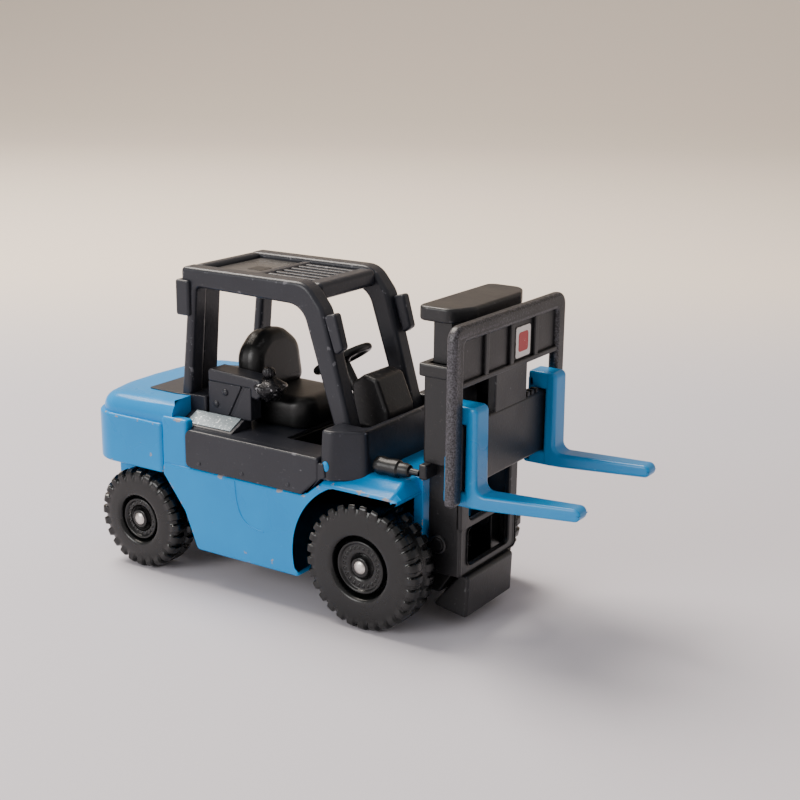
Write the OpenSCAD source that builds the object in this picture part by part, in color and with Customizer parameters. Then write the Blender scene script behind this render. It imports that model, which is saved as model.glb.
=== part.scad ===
// Toy forklift: a die-cast counterbalance truck with a two-stage sliding mast.
// Millimetres. +X points to the fork tips, +Y to the truck's left, +Z up, ground at z = 0.
// Modules are drawn with x = 0 at the front axle, and placed() centres the whole truck.

/* [Overall] */
// Distance between the two axles
wheelbase = 30.1; // [28:0.1:36]
// Rear axle to the back of the counterweight
rear_overhang = 8.5; // [7.2:0.1:10.4]
// Front axle to the fork tips
fork_reach = 23.1; // [20:0.1:32]
// Width over the body sides
body_w = 21.6; // [20.6:0.1:26]
// Height of the overhead guard
guard_top = 34.4; // [32:0.1:42]

/* [Wheels] */
// Front tyre diameter
front_tyre_d = 13.7; // [12:0.1:14.6]
// Front tyre width
front_tyre_w = 4.2; // [3:0.1:4.6]
// Rear tyre diameter
rear_tyre_d = 11.5; // [9.6:0.1:12.2]
// Rear tyre width
rear_tyre_w = 3.8; // [3:0.1:4.6]
// Axle pin diameter
axle_d = 1.6; // [1.2:0.05:2]
// How far the tyres stand proud of the body sides
tyre_proud = 0.3; // [0:0.05:0.8]
// Hub dish diameter, front
front_dish_d = 8.0; // [6.4:0.1:8.6]
// Hub dish diameter, rear
rear_dish_d = 6.0; // [5:0.1:6.6]

/* [Body] */
// Bottom edge of the sills above the ground
sill_z = 3.9; // [3:0.1:5]
// Bottom edge of the side panels
panel_z = 13.2; // [12.4:0.1:14]
// Crease along the top of the side panels
crease_z = 17.5; // [16.8:0.1:19]
// Top of the counterweight at its back edge
weight_top = 19.2; // [18:0.1:22]
// Rise of the counterweight's top towards the seat
weight_rise = 0.8; // [0:0.1:1.5]
// Casting wall thickness
wall = 1.1; // [0.8:0.05:1.4]
// Room between a tyre and its arch
arch_gap = 1.6; // [1.2:0.1:2.2]
// Width of the front cowl
cowl_w = 17.6; // [16:0.1:19]
// Top of the front cowl
cowl_top = 20.4; // [19:0.1:22.5]

/* [Cab] */
// Width of the overhead guard
guard_w = 14; // [12:0.1:15.6]
// Pillar thickness along the truck
pillar_t = 2.0; // [1.6:0.1:2.4]
// Pillar width across the truck
pillar_w = 2.2; // [1.6:0.1:2.6]
// Depth of the roof beams
roof_t = 2.2; // [1.6:0.1:2.8]
// Seat width
seat_w = 8.8; // [7:0.1:9.4]
// Steering wheel diameter
steer_d = 6.9; // [5:0.1:7.4]
// Steering wheel tilt from level
steer_tilt = 32; // [20:1:45]

/* [Mast] */
// Front face of the mast sleeve ahead of the axle
mast_x = 8.2; // [8:0.1:9.2]
// Width over the mast sleeve
mast_w = 13.6; // [12.8:0.1:14.6]
// Depth of the mast sleeve along the truck
mast_t = 3.5; // [3.3:0.1:3.8]
// Top of the mast sleeve
sleeve_top = 28.1; // [26:0.1:30]
// Bottom of the mast sleeve
sleeve_z = 17.9; // [17.4:0.1:18.6]
// Length of the inner mast showing above the sleeve
inner_show = 4.2; // [2:0.1:6]
// Inner mast length hidden in the sleeve
inner_hidden = 6.2; // [5:0.1:8]
// Mast cap thickness
cap_t = 1.5; // [1:0.1:2]
// Ground clearance under the mast foot
foot_z = 1.2; // [0.8:0.1:1.8]

/* [Fork carriage] */
// Width of the backrest
backrest_w = 22.4; // [20.5:0.1:28]
// Top of the backrest
backrest_top = 33.1; // [31:0.1:36]
// Bottom of the carriage plate
plate_z = 16.7; // [16:0.1:17.4]
// Backrest thickness
backrest_t = 1.1; // [0.8:0.05:1.3]
// Distance between the fork centre lines
fork_spread = 16.1; // [14:0.1:18]
// Fork width
fork_w = 2.5; // [2:0.1:3.4]
// Fork thickness at the heel
fork_t = 1.5; // [1.2:0.05:1.8]
// Upward rake of the fork blades
fork_rake = 4.2; // [0:0.5:7]

/* [Fits] */
// Radial gap of an axle in its bearing
bearing_gap = 0.07; // [0.03:0.01:0.1]
// Gap each side of a sliding piece
slide_gap = 0.12; // [0.08:0.01:0.2]
// Gap between pieces that sit together
seat_gap = 0.05; // [0.02:0.01:0.1]

/* [Hidden] */
$fn = 48;

// Colours
blue = [0.06, 0.56, 0.86];
slate = [0.27, 0.27, 0.30];
charcoal = [0.16, 0.16, 0.17];
black = [0.08, 0.08, 0.09];
steel = [0.80, 0.79, 0.78];
silver = [0.62, 0.68, 0.71];
white = [0.85, 0.82, 0.80];
lever_grey = [0.33, 0.33, 0.34];

// Main places along the truck, from the front axle
rear_axle_x = -wheelbase;
rear_x = -wheelbase - rear_overhang;
shift_x = (-rear_x - fork_reach) / 2;
side_y = body_w / 2;
tyre_y = side_y + tyre_proud;
front_r = front_tyre_d / 2;
rear_r = rear_tyre_d / 2;
axle_r = axle_d / 2;
arch_r = front_r + arch_gap;
nose_y = tyre_y - front_tyre_w - 0.7;  // half width between the front wheels
tail_y = tyre_y - rear_tyre_w - 1.0;   // half width between the rear wheels
axle_room = 2.0;                       // bearing radius round an axle
nose_low = front_r + axle_room + 0.15;
tail_low = rear_r + axle_room + 0.15;

// Counterweight
tier_z = crease_z - 0.1;               // ledge between its two tiers
tier_in = 0.45;                        // how far the upper tier is set in
dome_r = 1.5;                          // rounding over the edge of the upper tier
weight_x = rear_axle_x + rear_r - 2.05; // front end of the lower tier
weight_low = rear_tyre_d + 0.3;        // lower edge over the rear wheels
tail_r = 3.6;                          // plan radius of the two back corners
tail_bow = 1.2;                        // how far the tail bows out between them
skirt_x = rear_axle_x - rear_r + 0.9;  // back plate between the rear wheels
web_t = 1.1;                           // floor web of the casting
web_top = panel_z - 1.45;

// Side panels, deck and hood
panel_back = weight_x + 3.4;
panel_front = -5.2;
panel_t = 1.2;
panel_y = side_y + 0.1;
deck_t = 1.0;
well_front = -5.9;                     // foot well between the seat and the dash
well_back = -12.2;
well_y = 6.9;
tray_t = 0.5;
tray_z = panel_z;                       // underside of the floor tray
hood_top = weight_top + 0.4;
hood_back = rear_axle_x - 2;
hood_y = 7.2;
notch_front = weight_x + 1.2;          // front end of the upper tier

wall_top = max(panel_z, weight_low + 0.6); // top of the side wall behind the panel

// Cowl and front panel
cowl_y = cowl_w / 2;
cowl_front = -0.7;
cowl_flare = side_y - 0.1;             // half width of the cowl where it meets the panels
cowl_back = panel_front + 0.1;
cowl_in = 0.4;                         // how far its sides lean in at the top
pocket_z = cowl_top - 1.8;             // floor of the pocket in the cowl's top
nose_x = mast_x - mast_t - 0.25;
nose_top = 16.0;
wing_front = 4.3;

// Guard
guard_y = guard_w / 2;
roof_back = -26.3;
foot_lean = 1.3;                       // rear pillars: lean back from roof to foot
foot_x = -3.6;                         // front face of the front pillars at the cowl
bend_x = -7.9;                         // where the front pillars bend into the roof
bend_z = guard_top - 2.6;
post_w = 2.5;                          // width of the slim post beside the right rear pillar
cross_x = (roof_back + bend_x) / 2 - 0.3; // front face of the bar across the roof
rib_pitch = (guard_w - 2 * pillar_w) / 7.27;
rear_foot_z = tier_z + seat_gap;
front_foot_z = pocket_z + seat_gap;

// Seat, console and dash
seat_back_x = -21.1;
seat_front_x = -11.6;
seat_z = crease_z + seat_gap;
cushion_top = 20.9;
seat_top = 26.9;
console_x = -22.6;
ridge_front = console_x + 5;            // front end of the ridge under the console
strip_back = console_x - 1.6;
lever_x = -14.6;
lever_y = -guard_y + 1.2;
lever_z = crease_z + 4.5;
lever_r = 1.5;
dash_x = -6.9;
dash_y = 2.6;
dash_top = 24.5;
steer_x = -9.8;
steer_z = 25.0;
column_l = 4.7;

// Mast
mast_back = mast_x - mast_t;
sleeve_wall = 0.6;
sleeve_y = mast_w / 2;
lip_h = 1.3;
lip_out = 0.4;
ladder_front = mast_x + 0.6;
ladder_back = mast_x - 3.3;
ladder_y = 5.8;
ladder_z = 6.0;
ladder_mid = 10.9;                     // crossbar between its two windows
web_y = 0.7;                           // thickness of the ladder's side webs
flange_y = 1.6;                        // width of its front flanges
slot_y = 2.2;                          // half width of the slot down the sleeve's front
head_y = sleeve_y - sleeve_wall - slide_gap;
head_back = mast_back + sleeve_wall + slide_gap;
head_front = mast_x - sleeve_wall - slide_gap;
inner_top = sleeve_top + inner_show;
inner_low = sleeve_top - inner_hidden;
leg_low = inner_low - 6.0;
leg_y = 3.6;
pin_x = ladder_back + 1.3;
pin_z = 9.2;
pin_d = 1.3;
ear_out = ladder_y - web_y - seat_gap;
ear_in = 3.2;
tilt_y = sleeve_y + 0.75;               // height and offset of the tilt cylinders
tilt_z = nose_top + 0.95;

// Carriage
carriage_back = ladder_front + 1.1;
carriage_front = carriage_back + backrest_t;
backrest_y = backrest_w / 2;
plate_top = 23.3;
panel_low = 27.0;                      // lower edge of the backrest panels
upright_w = 1.8;
bar_h = 1.7;
foot_low = plate_z - 1.3;               // bottom of the two uprights
stem_y = 3.2;                          // half width of the stem between plate and panels
panel_half = 2.1;                      // half width of one backrest panel
panel_step = 4.95;                     // from one panel's middle to the next
panel_places = [-2.5 - panel_step, -2.5, 2.5, 2.5 + panel_step];
panel_depth = backrest_t * 0.6;
hook_t = 0.85;
shoe_low = 24.3;
shoe_top = 27.3;
neck_y = 1.2;
tee_y = 2.2;
tee_back = mast_back + 1.75;
tee_t = 0.9;
fork_back = carriage_front + seat_gap;
fork_front = fork_back + 1.25;
fork_y = fork_spread / 2;
fork_low = plate_z - seat_gap - fork_t;
fork_top = 25.2;
tip_t = 1.05;
taper_out = 4.5;                       // taper of a blade's outer and inner sides
taper_in = 0.8;
fork_rise = (fork_reach - fork_front) * tan(fork_rake);

// Chassis
chassis_low = 3.7;
chassis_top = 4.9;
post_places = [-23.5, -10.5];
post_r = 1.7;
rivet_r = 0.7;
bearing_w = 1.6;

// ---- helpers -------------------------------------------------------------

// Centre the truck over the origin
module placed() translate([shift_x, 0, 0]) children();

// Extrude an outline drawn in X and Z from y0 to y1
module across(y0, y1) translate([0, y1, 0]) rotate([90, 0, 0]) linear_extrude(y1 - y0) children();

// The same on both sides of the truck
module both_sides() { children(); mirror([0, 1, 0]) children(); }

// A box from its low corner to its high corner
module block(lo, hi) translate(lo) cube(hi - lo);

function unit(v) = v / norm(v);
function turn(a) = a > 180 ? a - 360 : a < -180 ? a + 360 : a;

// Outline with rounded corners: each entry is [x, z, radius]
function outline(c, steps = 6) = [
  for (i = [0 : len(c) - 1])
    let (
      n = len(c), p = [c[i].x, c[i].y], r = c[i].z,
      before = c[(i + n - 1) % n], after = c[(i + 1) % n],
      a = unit([before.x, before.y] - p), b = unit([after.x, after.y] - p),
      half = acos(max(-1, min(1, a * b))) / 2,
      centre = r == 0 ? p : p + unit(a + b) * r / sin(half),
      s = p + a * r / tan(half) - centre, e = p + b * r / tan(half) - centre,
      a0 = atan2(s.y, s.x), sweep = turn(atan2(e.y, e.x) - a0)
    )
    each r == 0 ? [p] : [for (k = [0 : steps])
      let (t = a0 + sweep * k / steps) centre + r * [cos(t), sin(t)]
    ]
];

// ---- body ----------------------------------------------------------------

// Plan of the counterweight: wide, with rounded corners and a bowed tail
module weight_plan(inset, front) {
  back = rear_x + inset;
  y = side_y - inset;
  polygon(outline([
    [front, y, 0], [back + tail_bow + 0.7, y, tail_r - inset], [back + 0.25, y * 0.45, 9],
    [back, 0, 0], [back + 0.25, -y * 0.45, 9], [back + tail_bow + 0.7, -y, tail_r - inset], [front, -y, 0]
  ], 10));
}

module counterweight() {
  // lower tier over the rear wheels
  difference() {
    translate([0, 0, weight_low]) linear_extrude(tier_z - weight_low) weight_plan(0, weight_x);
    // hollow under the hood
    block([hood_back + wall, -hood_y, weight_low + wall], [weight_x + 1, hood_y, tier_z + 1]);
  }
  // upper tier, its edges rounded over and its top sloping up towards the seat
  intersection() {
    hull() for (a = [0, 25, 50, 75])
      translate([0, 0, tier_z]) linear_extrude(weight_top - tier_z - dome_r + dome_r * sin(a) + 0.01)
        weight_plan(tier_in + dome_r * (1 - cos(a)), notch_front);
    across(-side_y, side_y) polygon([
      [rear_x, tier_z], [rear_x, weight_top], [notch_front, weight_top + weight_rise], [notch_front, tier_z]
    ]);
  }
  // its raised middle, rising to the back of the cab
  hull() {
    translate([rear_x + 4.2, -hood_y, tier_z]) cube([0.5, 2 * hood_y, weight_top - tier_z]);
    translate([notch_front - 0.5, -side_y + 2.6, tier_z])
      cube([0.5, 2 * side_y - 5.2, weight_top + weight_rise - tier_z]);
  }
  // mass above the rear axle and a skirt behind it
  block([rear_x + wall, -tail_y, tail_low], [weight_x, tail_y, weight_low]);
  block([rear_x + wall, -tail_y, sill_z + 0.4], [skirt_x, tail_y, tail_low]);
}

module sills() both_sides() {
  // step from the counterweight to the side panel
  block([weight_x, side_y - wall - 0.2, weight_low], [panel_back - seat_gap, side_y - 0.2, crease_z + 0.9]);
  // side wall from the rear arch to the front arch
  difference() {
    across(side_y - wall, side_y) polygon(outline([
      [weight_x, weight_low + 0.01, 0], [weight_x + 3, rear_r + 2.25, 2], [weight_x + 4.7, sill_z, 0.6],
      [-arch_r + 0.4, sill_z, 0.5], [-arch_r + 0.4, panel_z - seat_gap, 0],
      [panel_back - seat_gap, panel_z - seat_gap, 0], [panel_back - seat_gap, wall_top, 0], [weight_x, wall_top, 0]
    ]));
    across(side_y - wall - 1, side_y + 1) translate([0, front_r]) circle(r = arch_r);
  }
}

// Wing over each front wheel, from the side panel to its front edge
module wings() both_sides() difference() {
  across(nose_y - wall, side_y) polygon(outline([
    [-arch_r + 0.2, nose_low, 0], [-arch_r + 0.2, panel_z - seat_gap, 0],
    [panel_front - 2.2, panel_z - seat_gap, 0], [panel_front + 0.1, panel_z + 2, 0],
    [panel_front + 0.1, nose_top, 0], [wing_front - 0.8, nose_top, 0.3],
    [wing_front, nose_top - 1.3, 0.3], [wing_front - 0.3, nose_low, 0]
  ]));
  // arch over the tyre, open to the outside
  across(nose_y, side_y + 1) translate([0, front_r]) circle(r = arch_r - 0.35);
  // room behind the front panel
  across(0, nose_y) polygon([
    [nose_x, nose_low - 1], [wing_front + 1, nose_low - 1],
    [wing_front + 1, nose_top + 1], [nose_x, nose_top + 1]
  ]);
  // the top falls away to the outer edge
  translate([-arch_r - 1, 0, 0]) rotate([90, 0, 90]) linear_extrude(20) polygon([
    [cowl_y - 0.3, nose_top + 0.01], [side_y + 0.1, nose_top - 1.3],
    [side_y + 0.1, nose_top + 2], [cowl_y - 0.3, nose_top + 2]
  ]);
}

// Front cowl: narrower than the wings and leaning in to its top
module cowl() difference() {
  hull() {
    translate([0, 0, nose_top]) linear_extrude(0.1) polygon(outline([
      [cowl_back, -cowl_flare, 0.3], [cowl_back + 1.2, -cowl_flare, 1.2], [cowl_front + 0.1, -cowl_y, 1.0],
      [cowl_front + 0.1, cowl_y, 1.0], [cowl_back + 1.2, cowl_flare, 1.2], [cowl_back, cowl_flare, 0.3]
    ]));
    translate([0, 0, cowl_top - 0.4]) linear_extrude(0.4) polygon(outline([
      [cowl_back, -cowl_flare + cowl_in, 0.5], [cowl_back + 1.2, -cowl_flare + cowl_in, 1.2],
      [cowl_front - 0.3, -cowl_y + cowl_in, 1.0], [cowl_front - 0.3, cowl_y - cowl_in, 1.0],
      [cowl_back + 1.2, cowl_flare - cowl_in, 1.2], [cowl_back, cowl_flare - cowl_in, 0.5]
    ]));
  }
  // pocket for the dash and the pillar feet
  block(
    [cowl_back - 1, -guard_y - seat_gap, pocket_z],
    [cowl_front - wall, guard_y + seat_gap, cowl_top + 1]
  );
}

module body_casting() placed() {
  color(blue) difference() {
    union() {
      counterweight();
      sills();
      wings();
      // front panel and the ledge above it
      block([nose_x - wall, -nose_y, nose_low], [nose_x, nose_y, nose_top]);
      block([cowl_back, -nose_y, nose_top - wall], [nose_x, nose_y, nose_top]);
      // floor web, with shelves out to the sills
      block([weight_x, -nose_y + wall, web_top - web_t], [cowl_back, nose_y - wall, web_top]);
      both_sides() block(
        [panel_back, nose_y - wall, web_top - web_t],
        [-arch_r - 0.2, side_y - wall, web_top]
      );
      // posts that the chassis is riveted to
      for (x = post_places) translate([x, 0, chassis_top]) cylinder(r = post_r, h = web_top - chassis_top);
    }
    // hood pocket and notches for the rear pillars
    block(
      [hood_back - seat_gap, -hood_y - seat_gap, tier_z],
      [notch_front + 1, hood_y + seat_gap, guard_top]
    );
    // room for the floor tray
    block([well_back, -well_y, tray_z - seat_gap], [well_front, well_y, crease_z]);
    // rivet bores in the posts
    for (x = post_places) translate([x, 0, chassis_top - 1]) cylinder(r = rivet_r, h = 4);
  }
  color(slate) cowl();
}

// ---- chassis -------------------------------------------------------------

module bearings(x, z, out) both_sides() translate([x, out, 0]) {
  translate([0, 0, z]) rotate([90, 0, 0]) cylinder(r = axle_room, h = bearing_w);
  block([-axle_room, -bearing_w, chassis_low], [axle_room, 0, z]);
}

module axle_bore(x, z) translate([x, side_y, z]) rotate([90, 0, 0])
  cylinder(r = axle_r + bearing_gap, h = body_w);

module chassis() color(black) placed() difference() {
  front_in = nose_y - wall - 0.15;
  rear_in = tail_y - 0.15;
  sill_in = side_y - wall - 0.15;
  union() {
    block([skirt_x + 0.15, -rear_in, chassis_low], [-arch_r, rear_in, chassis_top]);
    block([panel_back + 1.6, -sill_in, chassis_low + 0.3], [-arch_r - 0.6, sill_in, chassis_top]);
    block([-arch_r, -front_in, chassis_low], [mast_back + 1.3, front_in, chassis_top]);
    // two ears that hold the mast
    both_sides() across(ear_in, ear_out) polygon([
      [mast_back + 0.1, chassis_low], [ladder_back + 1, chassis_low], [pin_x + 1, chassis_top + 0.7],
      [pin_x + 1, pin_z + 1.2], [mast_back + 0.1, pin_z + 1.2]
    ]);
    bearings(0, front_r, front_in);
    bearings(rear_axle_x, rear_r, rear_in);
  }
  for (x = post_places) translate([x, 0, chassis_low - 1]) cylinder(r = rivet_r + seat_gap, h = 3);
  translate([pin_x, side_y, pin_z]) rotate([90, 0, 0]) cylinder(r = pin_d / 2, h = body_w);
  axle_bore(0, front_r);
  axle_bore(rear_axle_x, rear_r);
}

module base_rivets() color(steel) placed() for (x = post_places) translate([x, 0, 0]) {
  translate([0, 0, chassis_low - 0.4]) cylinder(r1 = rivet_r + 0.5, r2 = rivet_r + 0.8, h = 0.4);
  translate([0, 0, chassis_low]) cylinder(r = rivet_r, h = 3.6);
}

// ---- wheels --------------------------------------------------------------

// One-piece wheel: r is the crown radius, w the width, dish the hub dish radius.
// Drawn on the Z axis with its outer face at z = 0 and its inner face at z = -w.
module wheel(r, w, dish) color(black) difference() {
  rotate_extrude() polygon([
    [0, -w], [r - 0.9, -w], [r - 0.25, -w + 0.45], [r - 0.02, -w + 1], [r, -w / 2],
    [r - 0.02, -1], [r - 0.25, -0.45], [r - 0.9, 0], [dish + 0.25, 0], [dish, -0.25],
    [dish - 0.15, -0.8], [dish - 0.6, -0.8], [dish - 0.8, -0.35], [dish - 1.1, -0.35],
    [dish - 1.25, -0.6], [axle_r + 0.7, -0.6], [axle_r + 0.6, -0.15], [0, -0.15]
  ]);
  translate([0, 0, -w - 1]) cylinder(r = axle_r, h = w + 2);
  // hollow on the inner side
  translate([0, 0, -w - 1]) rotate_extrude() polygon([
    [axle_r + 0.9, 0], [dish - 0.2, 0], [dish - 0.2, 1 + w * 0.45], [axle_r + 0.9, 1 + w * 0.45]
  ]);
}

module wheel_at(x, r, w, dish, side) placed()
  translate([x, side * tyre_y, r]) rotate([-90 * side, 0, 0]) wheel(r, w, dish);

module axle(x, r) color(steel) placed() translate([x, 0, r]) rotate([90, 0, 0])
  cylinder(r = axle_r, h = 2 * tyre_y - 0.2, center = true);

module front_axle() axle(0, front_r);
module front_wheel_left() wheel_at(0, front_r, front_tyre_w, front_dish_d / 2, 1);
module front_wheel_right() wheel_at(0, front_r, front_tyre_w, front_dish_d / 2, -1);
module rear_axle() axle(rear_axle_x, rear_r);
module rear_wheel_left() wheel_at(rear_axle_x, rear_r, rear_tyre_w, rear_dish_d / 2, 1);
module rear_wheel_right() wheel_at(rear_axle_x, rear_r, rear_tyre_w, rear_dish_d / 2, -1);

// ---- cab -----------------------------------------------------------------

module hood_deck() color(slate) placed() difference() {
  union() {
    // side panels, with a cut-off corner at the lower front
    both_sides() across(panel_y - panel_t, panel_y) polygon(outline([
      [panel_back, panel_z + 0.2, 0.6], [panel_back, crease_z, 0.9], [panel_front, crease_z, 0.2],
      [panel_front, panel_z + 2, 0.4], [panel_front - 2.2, panel_z, 0.5], [panel_back + 0.8, panel_z, 0.6]
    ]));
    // deck between the panels
    block(
      [panel_back, -panel_y + panel_t, crease_z - deck_t],
      [cowl_back - 0.1, panel_y - panel_t, crease_z]
    );
    block([hood_back, -hood_y, tier_z + seat_gap], [panel_back, hood_y, hood_top]);
    // ridge under the console
    both_sides() translate([weight_x + 1.4, 0, 0]) rotate([90, 0, 90])
      linear_extrude(ridge_front - weight_x - 1.4) polygon([
      [guard_y - 1, crease_z - 0.5], [guard_y + 2.4, crease_z - 0.5], [guard_y + 2.2, crease_z],
      [guard_y + 0.2, crease_z + 1.0], [guard_y - 1, crease_z + 1.0]
    ]);
  }
  // room for the rear pillars
  both_sides() block(
    [roof_back - foot_lean - 0.2, guard_y - pillar_w - seat_gap, 0],
    [roof_back + pillar_t + 0.2, guard_y + 3, guard_top]
  );
  // room for the steps of the casting
  both_sides() block([weight_x - 1, side_y - wall - 0.2 - seat_gap, 0], [panel_back, side_y + 2, guard_top]);
  // foot well
  block([well_back, -well_y, 0], [well_front, well_y, guard_top]);
  // hollow under the deck
  block([panel_back - 3, -well_y + 1, 0], [well_back + 1, well_y - 1, crease_z - deck_t]);
}

module silver_strip() color(silver) placed() translate([strip_back, 0, 0]) rotate([90, 0, 90])
  linear_extrude(6.2) polygon([
    [-guard_y - 2.1, crease_z + 0.06], [-guard_y - 0.3, crease_z + 0.96],
    [-guard_y - 0.3, crease_z + 1.16], [-guard_y - 2.2, crease_z + 0.2]
  ]);

// Guard: roof frame, ribs and four pillars
module guard_side() across(guard_y - pillar_w, guard_y) polygon(outline([
  [roof_back - foot_lean + 0.6, rear_foot_z, 0], [roof_back + 0.8, guard_top - roof_t - 0.8, 0.4],
  [roof_back, guard_top - roof_t, 0.4], [roof_back, guard_top - 0.2, 0.4],
  [bend_x - 1.6, guard_top, 2.8], [bend_x + 0.5, bend_z, 2.4], [foot_x, front_foot_z, 0],
  [foot_x - pillar_t - 0.1, front_foot_z, 0], [bend_x - 2.2, guard_top - roof_t - 0.3, 2.4],
  [roof_back + pillar_t, guard_top - roof_t, 0.6], [roof_back + pillar_t - foot_lean, rear_foot_z, 0]
]));

module overhead_guard() color(slate) placed() {
  both_sides() guard_side();
  // roof beams across the truck
  inside = guard_y - pillar_w;
  block([roof_back, -inside, guard_top - roof_t], [roof_back + 1.5, inside, guard_top - 0.2]);
  block([bend_x - 3.1, -inside, guard_top - roof_t], [bend_x - 1.2, inside, guard_top - 0.4]);
  block([cross_x - 1.2, -inside, guard_top - 1.4], [cross_x, inside, guard_top - 0.4]);
  // rear half closed by a thin panel, front half by ribs along the truck
  block([roof_back + 1.5, -inside, guard_top - 1.4], [cross_x - 1.2, inside, guard_top - 0.8]);
  for (i = [-3 : 3]) block(
    [cross_x, i * rib_pitch - rib_pitch / 4, guard_top - 1.4],
    [bend_x - 3.1, i * rib_pitch + rib_pitch / 4, guard_top - 0.5]
  );
  // slim post beside the right rear pillar, down to the hood
  across(-guard_y + pillar_w + 0.2, -guard_y + pillar_w + post_w) polygon([
    [roof_back - foot_lean + 0.9, hood_top + seat_gap], [roof_back + 0.6, guard_top - roof_t + 0.1],
    [roof_back + 1.5, guard_top - roof_t + 0.1], [roof_back - foot_lean + 1.8, hood_top + seat_gap]
  ]);
  // lamp boxes on the rear pillars and lamp bars on the front pillars
  both_sides() block(
    [roof_back - 0.5, guard_y - 0.8, guard_top - 5.4],
    [roof_back + 1.2, guard_y + 0.45, guard_top - 1.5]
  );
  both_sides() across(guard_y - 1.5, guard_y - 0.1) polygon([
    [bend_x + 0.6, bend_z - 0.6], [bend_x + 2.1, bend_z - 0.4],
    [bend_x + 3.5, bend_z - 5], [bend_x + 1.8, bend_z - 5]
  ]);
}

// Console with an armrest over its front, recessed for the foot of the levers
module armrest_console() color(slate) placed() difference() {
  translate([0, -guard_y - 0.2, 0]) {
    block([console_x, 0, crease_z + 1.05], [console_x + 5.9, 1.9, crease_z + 4.7]);
    across(0, 2.6) polygon(outline([
      [console_x, crease_z + 4.7, 0], [console_x, crease_z + 6.1, 0.3], [console_x + 7.1, crease_z + 5.7, 0.4],
      [console_x + 7.9, crease_z + 4.5, 0.3], [console_x + 6.7, crease_z + 3.5, 0.3],
      [console_x + 5.9, crease_z + 3.7, 0], [console_x + 5.9, crease_z + 4.7, 0]
    ]));
  }
  translate([lever_x, lever_y, lever_z - seat_gap]) cylinder(r = lever_r + seat_gap, h = 5);
}

module control_levers() color(lever_grey) placed() translate([lever_x, lever_y, lever_z]) {
  cylinder(r1 = lever_r, r2 = lever_r - 0.4, h = 1.2);
  translate([-0.5, 0, 1.2]) cylinder(r = 0.5, h = 0.5);
  translate([-0.5, 0, 1.7]) cylinder(r1 = 0.8, r2 = 0.6, h = 0.9);
}

module seat() color(black) placed() {
  // cushion
  hull() for (x = [seat_back_x + 2.6, seat_front_x - 1.4]) for (y = [-1, 1])
    translate([x, y * (seat_w / 2 - 1.4), seat_z]) {
      cylinder(r = 1.4, h = 1.6, $fn = 32);
      cylinder(r = 1.0, h = cushion_top - seat_z, $fn = 32);
    }
  // domed back, leaning a little
  translate([seat_back_x, 0, cushion_top - 0.9]) rotate([0, -6, 0]) rotate([90, 0, 90]) linear_extrude(2.6)
    polygon(outline([
      [-seat_w / 2, 0, 0.4], [-seat_w / 2 + 0.3, 5.0, 2.4], [-1.2, seat_top - cushion_top + 0.9, 2.0],
      [1.2, seat_top - cushion_top + 0.9, 2.0], [seat_w / 2 - 0.3, 5.0, 2.4], [seat_w / 2, 0, 0.4]
    ]));
}

module dashboard() color(charcoal) placed() across(-dash_y, dash_y) polygon(outline([
  [dash_x + 0.3, pocket_z + seat_gap, 0], [dash_x, dash_top - 1.2, 0.3], [dash_x + 1.6, dash_top, 0.5],
  [dash_x + 3.2, dash_top - 0.4, 0.5], [dash_x + 4.6, dash_top - 3.6, 0.4], [dash_x + 4.9, pocket_z + seat_gap, 0]
]));

module steering_wheel() color(black) placed() translate([steer_x, 0, steer_z]) rotate([0, -steer_tilt, 0]) {
  rotate_extrude() translate([steer_d / 2 - 0.42, 0]) circle(r = 0.42, $fn = 16);
  for (a = [0, 120, 240]) rotate([0, 0, a]) block([0, -0.35, -0.3], [steer_d / 2 - 0.5, 0.35, 0.2]);
  cylinder(r = 0.9, h = 0.5, center = true);
  // column down to the dash
  translate([0, 0, -column_l]) cylinder(r = 0.55, h = column_l);
}

// Floor tray in the foot well, standing on the web of the casting
module cab_floor() color(black) placed() {
  plug_y = nose_y - wall - seat_gap;
  block([well_back + seat_gap, -plug_y, web_top], [well_front - seat_gap, plug_y, tray_z + 0.1]);
  difference() {
    block(
      [well_back + seat_gap, -well_y + seat_gap, tray_z],
      [well_front - seat_gap, well_y - seat_gap, crease_z - 0.3]
    );
    block(
      [well_back + tray_t, -well_y + tray_t, tray_z + 0.6],
      [well_front - tray_t, well_y - tray_t, crease_z + 1]
    );
  }
}

// ---- mast ----------------------------------------------------------------

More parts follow.
